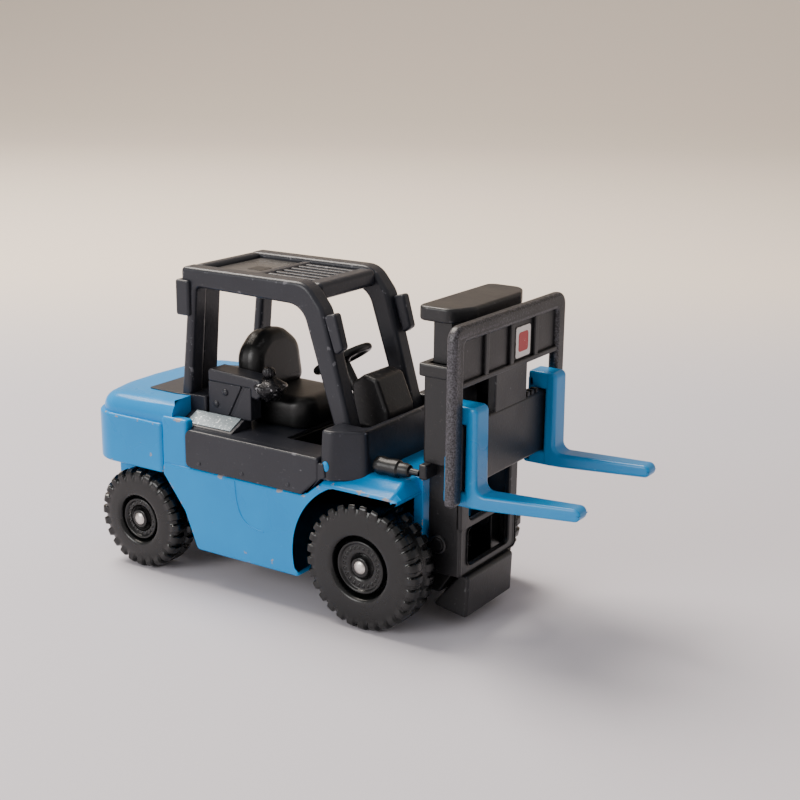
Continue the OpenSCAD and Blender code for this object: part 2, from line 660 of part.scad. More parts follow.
module outer_mast() color(charcoal) placed() difference() {
  union() {
    // sleeve and its lip
    block([mast_back, -sleeve_y, sleeve_z], [mast_x, sleeve_y, sleeve_top]);
    block(
      [mast_back - lip_out, -sleeve_y - lip_out, sleeve_top - lip_h],
      [mast_x + lip_out, sleeve_y + lip_out, sleeve_top]
    );
    // ladder: side webs, front flanges and crossbars
    both_sides() block([ladder_back, ladder_y - web_y, ladder_z], [ladder_front, ladder_y, sleeve_z + 0.5]);
    both_sides() block([ladder_front - 0.7, ladder_y - flange_y, ladder_z], [ladder_front, ladder_y, sleeve_z + 1.5]);
    both_sides() block([mast_x, slot_y + 0.4, sleeve_z], [ladder_front, ladder_y, sleeve_z + 1.5]);
    block([ladder_front - 0.7, -ladder_y, ladder_z], [ladder_front, ladder_y, ladder_z + 0.8]);
    block([ladder_front - 0.7, -ladder_y, ladder_mid], [ladder_front, ladder_y, ladder_mid + 0.8]);
    // lugs for the rods of the tilt cylinders
    both_sides() block([mast_back + 0.3, ladder_y - 0.2, tilt_z - 0.5], [mast_back + 1.2, tilt_y + 0.4, sleeve_z + 0.1]);
    // wedge foot
    across(-ladder_y + 1.1, ladder_y - 1.1) polygon(outline([
      [ladder_back - 0.1, foot_z + 0.75, 0.2], [ladder_front + 0.2, foot_z, 0.3],
      [ladder_front + 0.35, ladder_z - 0.3, 0.2], [ladder_front - 0.7, ladder_z + 0.01, 0]
    ]));
  }
  // bore of the sleeve
  block(
    [head_back - slide_gap, -head_y - slide_gap, sleeve_z - 0.01],
    [head_front + slide_gap, head_y + slide_gap, sleeve_top + 1]
  );
  // slot down the front for the carriage
  block([mast_x - sleeve_wall - 1, -slot_y, sleeve_z - 1], [ladder_front + 2, slot_y, sleeve_top + 1]);
  // pin bores
  translate([pin_x, side_y, pin_z]) rotate([90, 0, 0]) cylinder(r = pin_d / 2, h = body_w);
}

module mast_pin() color(charcoal) placed() both_sides() translate([pin_x, ladder_y + 0.3, pin_z])
  rotate([90, 0, 0]) cylinder(r = pin_d / 2, h = ladder_y + 0.3 - ear_in);

module inner_mast() color(charcoal) placed() difference() {
  union() {
    block([head_back, -head_y, inner_low], [head_front, head_y, inner_top]);
    block([tee_back - 0.8, -leg_y, leg_low], [head_front, leg_y, inner_low + 0.1]);
  }
  // T-slot that the carriage's shoe runs in
  block(
    [tee_back - slide_gap, -tee_y - slide_gap, leg_low - 1],
    [tee_back + tee_t + slide_gap, tee_y + slide_gap, inner_top - 0.4]
  );
  block([tee_back, -neck_y - slide_gap, leg_low - 1], [head_front + 1, neck_y + slide_gap, inner_top - 0.4]);
}

module mast_cap() color(charcoal) placed() translate([0, 0, inner_top]) linear_extrude(cap_t) polygon(outline([
  [mast_back - 0.5, -sleeve_y, 1.0], [mast_x - 0.2, -sleeve_y, 1.6], [mast_x + 1.0, -sleeve_y + 2.4, 1.6],
  [mast_x + 1.0, sleeve_y - 2.4, 1.6], [mast_x - 0.2, sleeve_y, 1.6], [mast_back - 0.5, sleeve_y, 1.0]
]));

// ---- fork carriage -------------------------------------------------------

module fork_carriage() color(charcoal) placed() {
  // frame: outline with rounded top corners, window under the panels
  translate([carriage_back, 0, 0]) rotate([90, 0, 90]) linear_extrude(backrest_t) difference() {
    polygon(outline([
      [-backrest_y, foot_low, 0.3], [-backrest_y, backrest_top, 1.4],
      [backrest_y, backrest_top, 1.4], [backrest_y, foot_low, 0.3],
      [backrest_y - upright_w, foot_low, 0.3], [backrest_y - upright_w, plate_z, 0],
      [-backrest_y + upright_w, plate_z, 0], [-backrest_y + upright_w, foot_low, 0.3]
    ]));
    for (s = [-1, 1]) {
      lo = s < 0 ? -backrest_y + upright_w : stem_y;
      translate([lo, plate_top]) square([backrest_y - upright_w - stem_y, panel_low - plate_top]);
    }
    for (y = panel_places) translate([y - panel_half, panel_low + 0.4])
      square([2 * panel_half, backrest_top - bar_h - panel_low - 0.5]);
  }
  // thin panels set back in the four openings
  for (y = panel_places) translate([0, y, 0]) block(
    [carriage_back, -panel_half, panel_low + 0.4],
    [carriage_back + panel_depth, panel_half, backrest_top - bar_h - 0.1]
  );
}

module slide_shoe() color(black) placed() {
  block([tee_back, -tee_y, shoe_low], [tee_back + tee_t, tee_y, shoe_top]);
  block([tee_back + tee_t, -neck_y, shoe_low], [carriage_back, neck_y, shoe_top]);
}

module badge_plate() color(white) placed() block(
  [carriage_back + panel_depth, 1.0, panel_low + 0.7],
  [carriage_back + panel_depth + 0.12, 4.0, backrest_top - bar_h - 0.5]
);

// One fork: front shank, blade, and hooks over and under the carriage plate
module fork(side) color(blue) placed() translate([0, side * fork_y, 0]) difference() {
  across(-fork_w / 2, fork_w / 2) polygon(outline([
    [carriage_back - 1.2, fork_low, 0.4], [fork_front + 0.8, fork_low, 0.6],
    [fork_reach, fork_low + fork_rise, 0.5], [fork_reach, fork_low + fork_rise + tip_t, 0.5],
    [fork_front, fork_low + fork_t, 0.7], [fork_front, fork_top, 0.6], [carriage_back - hook_t, fork_top, 0.4],
    [carriage_back - hook_t, plate_top - 0.9, 0.2], [carriage_back - seat_gap, plate_top - 0.9, 0],
    [carriage_back - seat_gap, plate_top + seat_gap, 0], [fork_back, plate_top + seat_gap, 0],
    [fork_back, plate_z - seat_gap, 0], [carriage_back - seat_gap, plate_z - seat_gap, 0],
    [carriage_back - seat_gap, plate_z + 3.4, 0], [carriage_back - 1.2, plate_z + 3.4, 0.2]
  ]));
  // the blade narrows to a rounded tip
  for (s = [-1, 1])
    translate([fork_front + 3, s * fork_w / 2, 0])
      rotate([0, 0, -s * (s * side > 0 ? taper_out : taper_in)])
        translate([0, s > 0 ? 0 : -2, 0]) cube([fork_reach, 2, guard_top]);
}

module fork_left() fork(1);
module fork_right() fork(-1);

// Tilt cylinders between the cowl and the mast
module tilt_cylinder(side) color(black) placed() translate([0, side * tilt_y, tilt_z]) rotate([0, 90, 0]) {
  translate([0, 0, cowl_front + 0.5]) cylinder(r = 0.9, h = 2.8);
  translate([0, 0, cowl_front + 3.3]) cylinder(r = 0.7, h = 1.2);
  translate([0, 0, cowl_front + 4.5]) cylinder(r = 0.35, h = mast_back + 0.3 - seat_gap - cowl_front - 4.5);
}
module tilt_cylinder_left() tilt_cylinder(1);
module tilt_cylinder_right() tilt_cylinder(-1);

body_casting();
hood_deck();
silver_strip();
overhead_guard();
armrest_console();
control_levers();
seat();
dashboard();
steering_wheel();
cab_floor();
chassis();
base_rivets();
outer_mast();
mast_pin();
inner_mast();
mast_cap();
fork_carriage();
slide_shoe();
badge_plate();
fork_left();
fork_right();
tilt_cylinder_left();
tilt_cylinder_right();
front_axle();
front_wheel_left();
front_wheel_right();
rear_axle();
rear_wheel_left();
rear_wheel_right();
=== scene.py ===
import math
import bpy
import numpy as np
from mathutils import Matrix, Vector


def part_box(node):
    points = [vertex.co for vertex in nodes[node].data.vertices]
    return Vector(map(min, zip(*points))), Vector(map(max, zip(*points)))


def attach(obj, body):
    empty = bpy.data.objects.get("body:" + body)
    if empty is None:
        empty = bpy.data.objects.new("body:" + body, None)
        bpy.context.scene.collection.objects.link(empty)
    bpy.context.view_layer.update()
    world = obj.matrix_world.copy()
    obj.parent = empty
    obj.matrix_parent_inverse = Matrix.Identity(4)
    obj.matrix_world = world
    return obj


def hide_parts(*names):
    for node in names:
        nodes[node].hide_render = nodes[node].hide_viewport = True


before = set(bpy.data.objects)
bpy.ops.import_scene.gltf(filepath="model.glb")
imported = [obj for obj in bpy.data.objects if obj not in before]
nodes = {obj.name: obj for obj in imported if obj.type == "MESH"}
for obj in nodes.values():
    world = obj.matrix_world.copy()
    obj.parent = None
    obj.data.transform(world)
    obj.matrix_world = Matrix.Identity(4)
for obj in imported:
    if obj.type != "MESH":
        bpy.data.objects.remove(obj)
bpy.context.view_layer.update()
mm = 0.001  # Blender counts in metres, this script in millimetres

# x is counted from the front axle, as a maker would measure this truck; y and z as in the frame
axleLow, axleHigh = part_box("front_axle")
axleX = (axleLow.x + axleHigh.x) / 2 / mm


def boxMm(node):  # lowest and highest corner of a CAD node in millimetres, x from the front axle
    low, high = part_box(node)
    return np.array(low) / mm - [axleX, 0, 0], np.array(high) / mm - [axleX, 0, 0]


# Shapes as arrays

def turnWay(p):  # positive when a closed line runs anticlockwise
    return np.sum(p[:, 0] * np.roll(p[:, 1], -1) - np.roll(p[:, 0], -1) * p[:, 1])


def roundedLine(corners, steps=6, least=0.0):
    # closed line through [a, b, radius] corners; each corner becomes an arc tangent to its two sides,
    # with one more point just beyond each end of the arc so that shading stays flat on the straights
    c = np.array(corners, float)
    p = c[:, :2]
    way = math.copysign(1, turnWay(p))
    made = []
    for before, here, after, r in zip(np.roll(p, 1, 0), p, np.roll(p, -1, 0), c[:, 2]):
        a = (before - here) / np.linalg.norm(before - here)
        b = (after - here) / np.linalg.norm(after - here)
        half = math.acos(np.clip(a @ b, -1, 1)) / 2
        if (b[0] * a[1] - b[1] * a[0]) * way > 0.05:
            r = max(r, least)
        if r <= 0 or half > 1.565:
            made.append(here[None])
            continue
        reach = r / math.tan(half)
        centre = here + (a + b) / np.linalg.norm(a + b) * r / math.sin(half)
        start = here + a * reach - centre
        end = here + b * reach - centre
        turn = math.atan2(start[0] * end[1] - start[1] * end[0], start @ end)
        t = np.linspace(0, turn, steps + 1)
        arc = centre + np.outer(np.cos(t), start) + np.outer(np.sin(t), [-start[1], start[0]])
        nudge = min(0.06, 0.2 * r)
        made.append(np.vstack([here + a * (reach + nudge), arc, here + b * (reach + nudge)]))
    line = np.vstack(made)
    return line if turnWay(line) > 0 else line[::-1]


def insetLine(line, d):
    # moves every point inwards by d along the bisector of its two sides, for an anticlockwise line
    e1 = line - np.roll(line, 1, 0)
    e2 = np.roll(line, -1, 0) - line
    n1 = np.stack([-e1[:, 1], e1[:, 0]], 1) / np.linalg.norm(e1, axis=1)[:, None]
    n2 = np.stack([-e2[:, 1], e2[:, 0]], 1) / np.linalg.norm(e2, axis=1)[:, None]
    n = n1 + n2
    n = n / np.maximum(np.sum(n * n1, 1), 0.35)[:, None]
    return line + n * d


def gridShape(points, closeU=True, closeV=False, capEnds=False, wear=None):
    # points[v, u] is a grid of places; neighbours make quads, and the end rows may be closed by one face
    rows, cols = points.shape[:2]
    index = np.arange(rows * cols).reshape(rows, cols)
    right = np.roll(index, -1, 1) if closeU else index[:, 1:]
    left = index if closeU else index[:, :-1]
    if closeV:
        quads = np.stack([left, right, np.roll(right, -1, 0), np.roll(left, -1, 0)], -1)
    else:
        quads = np.stack([left[:-1], right[:-1], right[1:], left[1:]], -1)
    faces = [quads.reshape(-1, 4)]
    if capEnds:
        faces += [index[0][::-1][None], index[-1][None]]
    flat = points.reshape(-1, 3)
    worn = np.zeros(len(flat)) if wear is None else np.repeat(wear, cols)
    return facingOut(dict(points=flat, faces=faces, wear=worn))


def facingOut(shape):
    # the signed volume tells which way a closed shape faces; a negative one is turned over
    p = shape["points"]
    volume = 0
    for f in shape["faces"]:
        for k in range(1, f.shape[1] - 1):
            volume += np.sum(p[f[:, 0]] * np.cross(p[f[:, k]], p[f[:, k + 1]]))
    if volume < 0:
        shape["faces"] = [f[:, ::-1] for f in shape["faces"]]
    return shape


def edgeProfile(low, high, edge, middle=(), steps=4):
    # (inset, depth, wear) rows of a plate with both rims rounded over by a quarter circle
    t = np.linspace(0, math.pi / 2, steps + 1)
    rim = [(edge * 1.02 + 0.05, 0, 0.2)]
    rim += [(edge * (1 - math.sin(a)), edge * (1 - math.cos(a)), 1) for a in t]
    rim.append((0, edge * 1.02 + 0.04, 0.2))
    rows = [(i, low + d, w) for i, d, w in rim] + [(0, m, 0) for m in middle]
    return np.array(rows + [(i, high - d, w) for i, d, w in rim[::-1]])


def plate(line, low, high, axis="y", edge=0.2, middle=()):
    # an outline, as a line or as corners, swept from low to high along an axis, its rims rounded over
    edge = min(edge, 0.48 * (high - low))
    if isinstance(line, list):
        line = roundedLine(line, least=edge * 1.02 + 0.08)
    profile = edgeProfile(low, high, edge, middle)
    rings = np.stack([insetLine(line, inset) for inset in profile[:, 0]])
    depth = np.broadcast_to(profile[:, 1][:, None], rings.shape[:2])
    order = {"x": (depth, rings[..., 0], rings[..., 1]), "y": (rings[..., 0], depth, rings[..., 1]),
             "z": (rings[..., 0], rings[..., 1], depth)}[axis]
    return gridShape(np.stack(order, -1), capEnds=True, wear=profile[:, 2])


def block(low, high, edge=0.2, corner=None, axis="z"):
    # a box with all its edges rounded
    a, b = [i for i in range(3) if "xyz"[i] != axis]
    k = "xyz".index(axis)
    r = edge if corner is None else corner
    edge = min(edge, 0.4 * min(high[a] - low[a], high[b] - low[b]) - 0.09)
    corners = [[low[a], low[b], r], [high[a], low[b], r], [high[a], high[b], r], [low[a], high[b], r]]
    return plate(corners, low[k], high[k], axis, max(edge, 0.02))


def hoop(outer, inner, low, high, edge=0.15):
    # a flat frame round a window, square to x: outer and inner are lines with the same number of points,
    # and the section between them is carried round as a rounded rectangle
    t = np.linspace(0, math.pi / 2, 4)
    wide = np.linalg.norm(outer - inner, axis=1)[:, None]
    arcs = [(edge * (1 - math.sin(a)), edge * (1 - math.cos(a))) for a in t]
    section = arcs + [(1 - s, d) for s, d in arcs[::-1]]
    rows = [(s, low + d) for s, d in section] + [(s, high - d) for s, d in section[::-1]]
    rings = np.stack([outer + (inner - outer) * (s / wide if s < 0.5 else 1 - (1 - s) / wide) for s, d in rows])
    depth = np.stack([np.full(len(outer), d) for s, d in rows])
    grid = np.stack([depth, rings[..., 0], rings[..., 1]], -1)
    return gridShape(grid, closeV=True, wear=np.full(len(rows), 0.6))


def turned(profile, steps=48, wear=None, wave=None):
    # a (radius, height) profile carried round the z axis; wave(angle, row) may lift it along its normal
    profile = np.array(profile, float)
    angle = np.linspace(0, 2 * math.pi, steps, endpoint=False)
    r = np.repeat(profile[:, :1], steps, 1)
    z = np.repeat(profile[:, 1:2], steps, 1)
    if wave is not None:
        along = np.gradient(profile, axis=0)
        n = np.stack([-along[:, 1], along[:, 0]], 1)
        n = n / np.maximum(np.linalg.norm(n, axis=1), 1e-6)[:, None]
        lift = wave(angle[None, :], profile)
        r = r + n[:, :1] * lift
        z = z + n[:, 1:] * lift
    grid = np.stack([r * np.cos(angle), r * np.sin(angle), z], -1)
    return gridShape(grid, capEnds=True, wear=wear)


def moved(shape, where=(0, 0, 0), turn=None):
    p = shape["points"]
    if turn is not None:
        p = p @ np.array(turn).T
    return dict(shape, points=p + np.array(where, float))


def flipped(shape):  # the same shape on the other side of the truck
    return dict(shape, points=shape["points"] * [1, -1, 1], faces=[f[:, ::-1] for f in shape["faces"]])


def rotation(axis, degrees):
    return np.array(Matrix.Rotation(math.radians(degrees), 3, axis))


def piece(name, shapes, material, body, replaces=(), sharp=38):
    # joins shapes into one object that stands for the CAD nodes it names
    points = np.vstack([s["points"] for s in shapes]) + [axleX, 0, 0]
    wear = np.concatenate([s["wear"] for s in shapes])
    loops, totals, start = [], [], 0
    for s in shapes:
        for f in s["faces"]:
            loops.append((f + start).ravel())
            totals.append(np.full(len(f), f.shape[1]))
        start += len(s["points"])
    loops = np.concatenate(loops)
    totals = np.concatenate(totals)
    mesh = bpy.data.meshes.new(name)
    mesh.vertices.add(len(points))
    mesh.vertices.foreach_set("co", (points * mm).astype(np.float32).ravel())
    mesh.loops.add(len(loops))
    mesh.loops.foreach_set("vertex_index", loops.astype(np.int32))
    mesh.polygons.add(len(totals))
    mesh.polygons.foreach_set("loop_start", (np.cumsum(totals) - totals).astype(np.int32))
    mesh.update(calc_edges=True)
    mesh.validate()
    mesh.attributes.new("wear", "FLOAT", "POINT").data.foreach_set("value", wear.astype(np.float32))
    mesh.shade_smooth()
    mesh.set_sharp_from_angle(angle=math.radians(sharp))
    mesh.materials.append(material)
    made = bpy.data.objects.new(name, mesh)
    bpy.context.scene.collection.objects.link(made)
    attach(made, body)
    if replaces:
        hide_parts(*replaces)
    return made


# Materials

def colour(hexCode):  # sRGB hex to linear, opaque
    c = np.array([int(hexCode[i:i + 2], 16) for i in (1, 3, 5)]) / 255
    c = np.where(c <= 0.04045, c / 12.92, ((c + 0.055) / 1.055) ** 2.4)
    return (*c.tolist(), 1.0)


def addNode(tree, kind, inputs=(), **settings):
    node = tree.nodes.new(kind)
    for key, value in settings.items():
        setattr(node, key, value)
    for key, value in dict(inputs).items():
        if isinstance(value, bpy.types.NodeSocket):
            tree.links.new(value, node.inputs[key])
        else:
            node.inputs[key].default_value = value
    return node


def perMm(size):  # noise scale for features of this many millimetres
    return 1 / (size * mm)


def noise(tree, place, size, detail):  # clouds of about this many millimetres
    inputs = {"Vector": place, "Scale": perMm(size), "Detail": detail}
    return addNode(tree, "ShaderNodeTexNoise", inputs).outputs["Fac"]


def makeSurface(name, look):
    # one skin: base colour that drifts, specks, bare spots on worn rims, grain and slow ripple in the bump
    material = bpy.data.materials.new(name)
    material.use_nodes = True
    tree = material.node_tree
    tree.nodes.clear()
    place = addNode(tree, "ShaderNodeTexCoord").outputs["Object"]
    drift = noise(tree, place, look["driftSize"], 3.0)
    speck = noise(tree, place, look["speckSize"], 2.0)
    chip = noise(tree, place, look["chipSize"], 4.0)
    tone = addNode(tree, "ShaderNodeValToRGB", {"Fac": drift})
    tone.color_ramp.elements[0].position = 0.3
    tone.color_ramp.elements[0].color = colour(look["dark"])
    tone.color_ramp.elements[1].position = 0.7
    tone.color_ramp.elements[1].color = colour(look["base"])
    specks = addNode(tree, "ShaderNodeMapRange", {"Value": speck, "From Min": look["speckFrom"],
                     "From Max": look["speckFrom"] + 0.08, "To Max": look["speckAmount"]})
    dusty = addNode(tree, "ShaderNodeMix", {0: specks.outputs[0], 6: tone.outputs["Color"],
                    7: colour(look["speck"])}, data_type="RGBA")
    wear = addNode(tree, "ShaderNodeAttribute", attribute_name="wear")
    rim = addNode(tree, "ShaderNodeMath", {0: wear.outputs["Fac"], 1: look["rimWear"]}, operation="MULTIPLY")
    rimmed = addNode(tree, "ShaderNodeMath", {0: rim.outputs[0], 1: chip}, operation="ADD")
    bare = addNode(tree, "ShaderNodeMapRange", {"Value": rimmed.outputs[0], "From Min": look["chipFrom"],
                   "From Max": look["chipFrom"] + look["chipSoft"], "To Max": look["chipAmount"]})
    skin = addNode(tree, "ShaderNodeMix", {0: bare.outputs[0], 6: dusty.outputs[2], 7: colour(look["bare"])},
                   data_type="RGBA")
    rough = addNode(tree, "ShaderNodeMapRange", {"Value": drift, "From Min": 0.3, "From Max": 0.7,
                    "To Min": look["rough"][0], "To Max": look["rough"][1]})
    grain = noise(tree, place, look["grainSize"], 3.0)
    ripple = noise(tree, place, look["rippleSize"], 1.0)
    inner = addNode(tree, "ShaderNodeBump", {"Height": ripple, "Strength": look["ripple"],
                    "Distance": 0.1 * mm})
    if "softEdge" in look:
        soft = addNode(tree, "ShaderNodeBevel", {"Radius": look["softEdge"] * mm}, samples=6)
        tree.links.new(soft.outputs[0], inner.inputs["Normal"])
    bump = addNode(tree, "ShaderNodeBump", {"Height": grain, "Strength": look["grain"],
                   "Distance": 0.05 * mm, "Normal": inner.outputs[0]})
    skinNode = addNode(tree, "ShaderNodeBsdfPrincipled", {
        "Base Color": skin.outputs[2], "Roughness": rough.outputs[0], "Normal": bump.outputs[0],
        "Metallic": look.get("metallic", 0.0), "Coat Weight": look.get("coat", 0.0),
        "Coat Roughness": look.get("coatRough", 0.1), "IOR": look.get("ior", 1.5),
        "Subsurface Weight": look.get("glow", 0.0), "Subsurface Scale": look.get("glowDepth", 1.0) * mm})
    out = addNode(tree, "ShaderNodeOutputMaterial")
    tree.links.new(skinNode.outputs[0], out.inputs[0])
    material.diffuse_color = colour(look["base"])
    return material


# Sprayed gloss enamel over zinc: bright, wet highlights and small grey chips on its rims
enamelLook = dict(base="#008DD2", dark="#0083C6", driftSize=9, speck="#2FA8E8", speckSize=0.5, speckFrom=0.72,
                  speckAmount=0.2, chipSize=1.1, bare="#9B8F8B", rimWear=0.12, chipFrom=0.72, chipSoft=0.03,
                  chipAmount=0.9, rough=(0.24, 0.34), grainSize=0.5, grain=0.08, rippleSize=3, ripple=0.25,
                  coat=0.05, coatRough=0.08, ior=1.3)
# Sprayed satin grey paint: a soft sheen, with pale rubbed rims
slateLook = dict(base="#272930", dark="#202229", driftSize=7, speck="#55565C", speckSize=0.4, speckFrom=0.68,
                 speckAmount=0.3, chipSize=0.8, bare="#77777D", rimWear=0.1, chipFrom=0.72, chipSoft=0.06,
                 chipAmount=0.5, rough=(0.3, 0.42), grainSize=0.35, grain=0.3, rippleSize=2.4, ripple=0.3,
                 ior=1.42)
# The same paint on the roof top, smoother, and painted paler and warmer: painted light from above on the top
# face
roofPaintedLightLook = dict(slateLook, base="#4F4C4B", dark="#454341", rough=(0.24, 0.34))
# Moulded dark ABS of the mast: satin, a little dusty
mastLook = dict(base="#111114", dark="#0E0E11", driftSize=6, speck="#45433F", speckSize=0.35, speckFrom=0.66,
                speckAmount=0.3, chipSize=0.6, bare="#606064", rimWear=0.06, chipFrom=0.7, chipSoft=0.08,
                chipAmount=0.5, rough=(0.34, 0.48), grainSize=0.3, grain=0.3, rippleSize=3, ripple=0.2)
# The backrest's ABS, rubbed pale along every rim
wornLook = dict(mastLook, bare="#5C5A61", rimWear=0.26, chipFrom=0.62, chipSize=0.18, chipSoft=0.3,
                chipAmount=0.85)
# Moulded black ABS of the seat, dash and floor
blackLook = dict(base="#0A0B0C", dark="#08090A", driftSize=6, speck="#3A3B3D", speckSize=0.3, speckFrom=0.68,
                 speckAmount=0.3, chipSize=0.6, bare="#4A4A4C", rimWear=0.12, chipFrom=0.72, chipSoft=0.08,
                 chipAmount=0.4, rough=(0.3, 0.42), grainSize=0.3, grain=0.25, rippleSize=2, ripple=0.2)
# Hard black wheel plastic: glossy, with dust on the lugs
tyreLook = dict(base="#060809", dark="#050607", driftSize=5, speck="#34373A", speckSize=0.28, speckFrom=0.68,
                speckAmount=0.3, chipSize=0.5, bare="#4C4F53", rimWear=0.12, chipFrom=0.72, chipSoft=0.1,
                chipAmount=0.35, rough=(0.2, 0.34), grainSize=0.3, grain=0.2, rippleSize=1.6, ripple=0.25)
# Soft blue fork plastic: light passes a little way into it
forkLook = dict(base="#0088C8", dark="#007EBC", driftSize=8, speck="#2FA0DC", speckSize=0.5, speckFrom=0.7,
                speckAmount=0.25, chipSize=0.8, bare="#4FB4E4", rimWear=0.06, chipFrom=0.72, chipSoft=0.1,
                chipAmount=0.35, rough=(0.26, 0.36), grainSize=0.4, grain=0.15, rippleSize=2.5, ripple=0.25,
                glow=0.12, glowDepth=0.8)
# Peened steel pin ends
steelLook = dict(base="#DAD6D2", dark="#B9B4AE", driftSize=0.6, speck="#8A8580", speckSize=0.25, speckFrom=0.62,
                 speckAmount=0.5, chipSize=0.4, bare="#9A958F", rimWear=0.1, chipFrom=0.75, chipSoft=0.1,
                 chipAmount=0.4, rough=(0.26, 0.42), grainSize=0.2, grain=0.5, rippleSize=0.7, ripple=0.5,
                 metallic=1.0)
# Thin brushed-on silver paint, patchy at its ends
silverLook = dict(base="#707D84", dark="#616D74", driftSize=1.6, speck="#D5DDE0", speckSize=0.25, speckFrom=0.6,
                  speckAmount=0.7, chipSize=0.9, bare="#5A5C62", rimWear=0.1, chipFrom=0.7, chipSoft=0.05,
                  chipAmount=0.8, rough=(0.35, 0.5), grainSize=0.2, grain=0.4, rippleSize=1.5, ripple=0.3,
                  metallic=0.35, softEdge=0.1)
# Lever cluster with its dark paint rubbed to bright metal
leverLook = dict(base="#202024", dark="#19191C", driftSize=1.2, speck="#66666A", speckSize=0.22, speckFrom=0.62,
                 speckAmount=0.5, chipSize=0.4, bare="#A4A4A8", rimWear=0.1, chipFrom=0.7, chipSoft=0.05,
                 chipAmount=0.9, rough=(0.22, 0.34), grainSize=0.2, grain=0.6, rippleSize=0.8, ripple=0.6,
                 metallic=0.4)
# Paper-white printed foil and its plain red mark
foilLook = dict(base="#E6E0DC", dark="#D8D1CC", driftSize=2, speck="#B9B2AE", speckSize=0.3, speckFrom=0.66,
                speckAmount=0.4, chipSize=0.5, bare="#8A8480", rimWear=0.2, chipFrom=0.74, chipSoft=0.05,
                chipAmount=0.7, rough=(0.4, 0.5), grainSize=0.2, grain=0.2, rippleSize=1.5, ripple=0.2)
redLook = dict(foilLook, base="#B8383C", dark="#A33035", speck="#D8807E", bare="#D9CFCB", rimWear=0.1)

enamel = makeSurface("blueEnamel", enamelLook)
slate = makeSurface("slatePaint", slateLook)
# painted light: a paler, warmer copy of the slate paint for the roof top
roofPaintedLight = makeSurface("slatePaintPaintedTopLight", roofPaintedLightLook)
mastPlastic = makeSurface("mastAbs", mastLook)
wornPlastic = makeSurface("rubbedAbs", wornLook)
blackPlastic = makeSurface("blackAbs", blackLook)
tyrePlastic = makeSurface("wheelPlastic", tyreLook)
forkPlastic = makeSurface("forkPlastic", forkLook)
steel = makeSurface("peenedSteel", steelLook)
silver = makeSurface("silverPaint", silverLook)
leverMetal = makeSurface("rubbedMetal", leverLook)
foil = makeSurface("printedFoil", foilLook)
redInk = makeSurface("redInk", redLook)
softMast = makeSurface("mastAbsSoftEdge", dict(mastLook, softEdge=0.15))
softBlack = makeSurface("blackAbsSoftEdge", dict(blackLook, softEdge=0.2))
softSteel = makeSurface("steelSoftEdge", dict(steelLook, softEdge=0.1))
print("materials made")

# CAD nodes that keep their own shape
for name, skin in (("silver_strip", silver), ("cab_floor", softBlack), ("chassis", softBlack),
                   ("base_rivets", softSteel), ("mast_pin", softMast), ("inner_mast", softMast),
                   ("slide_shoe", softBlack)):
    nodes[name].data.materials.clear()
    nodes[name].data.materials.append(skin)

# Wheels: one piece of hard plastic each, tyre and hub together
wheelValues = dict(
    front=dict(lugs=29, lugHeight=0.32, lugBand=0.36, dish=3.45, ring=2.75, dots=22, dotRing=2.05),
    rear=dict(lugs=24, lugHeight=0.36, lugBand=0.38, dish=2.8, ring=2.3, dots=16, dotRing=1.75))
dotRadius = 0.19
dotHeight = 0.12


def wheelShape(radius, width, v):
    # the tyre's section, from the hub's middle outwards, over the tread and back to the axle behind;
    # lugs and hub dots lift it along its normal
    h = v["lugHeight"]
    crown = radius - h
    hub = [(0.0, -0.25), (0.9, -0.25), (1.0, -0.3), (1.1, -0.75), (1.25, -0.85), (1.35, -0.72), (1.55, -0.55),
           (v["dotRing"] - 0.32, -0.55)]
    hub += [(v["dotRing"] + k, -0.55) for k in np.linspace(-0.26, 0.26, 9)]
    hub += [(v["ring"] + r, d) for r, d in ((-0.34, -0.55), (-0.28, -0.5), (-0.22, -0.34), (-0.12, -0.28),
                                            (0.0, -0.3), (0.08, -0.42), (0.1, -1.15), (0.16, -1.25))]
    face = [(v["dish"] + r, d) for r, d in ((-0.32, -1.1), (-0.2, -0.7), (-0.08, -0.25), (0.06, -0.06),
                                            (0.25, 0.0), (0.5, 0.0))]
    face += [(crown - 1.5, -0.02), (crown - 1.1, -0.06),
             (crown - 0.8, -0.12), (crown - 0.55, -0.2), (crown - 0.36, -0.28), (crown - 0.2, -0.4),
             (crown - 0.09, -0.55), (crown - 0.03, -0.7)]
    tread = [(crown, -d) for d in np.linspace(0.85, width - 0.85, 26)]
    back = [(r, -width - d) for r, d in face[::-1][:12]]
    inner = [(v["dish"] + 0.2, -width), (v["dish"] - 0.1, -width + 0.15), (v["dish"] - 0.3, -width + 1.0),
             (1.7, -width + 1.0), (1.6, -width + 0.2), (1.5, -width), (0.0, -width)]
    profile = np.array(hub + face + tread + back + inner, float)

    def wave(angle, rows):
        depth = -rows[:, 1:2]
        r = rows[:, :1]
        middle = np.abs(depth - width / 2) / (width / 2)          # 0 at the tread's centre, 1 at its shoulder
        side = np.where(depth < width / 2, 0.0, math.pi)          # the two rows of lugs are staggered
        tooth = np.cos(v["lugs"] * angle + side + 0.5 * middle)
        tooth = 1 / (1 + np.exp(-12 * (tooth + 0.4)))
        onTread = np.clip((middle - 1 + 2 * v["lugBand"] + 0.12) / 0.14, 0, 1)
        onTyre = np.clip((r - (crown - 0.75)) / 0.45, 0, 1)
        lug = h * tooth * onTread * onTyre
        step = 2 * math.pi / v["dots"]
        local = (angle + step / 2) % step - step / 2
        away = np.hypot(r - v["dotRing"], r * local)
        dot = dotHeight * np.clip(1 - (away / dotRadius) ** 2, 0, 1) ** 0.5
        return lug + np.where((depth < 0.6) & (r > 1), dot, 0)

    wear = np.clip((profile[:, 0] - crown + 0.5) * 1.5, 0, 0.7)
    return turned(profile, steps=v["lugs"] * 16, wear=wear, wave=wave)


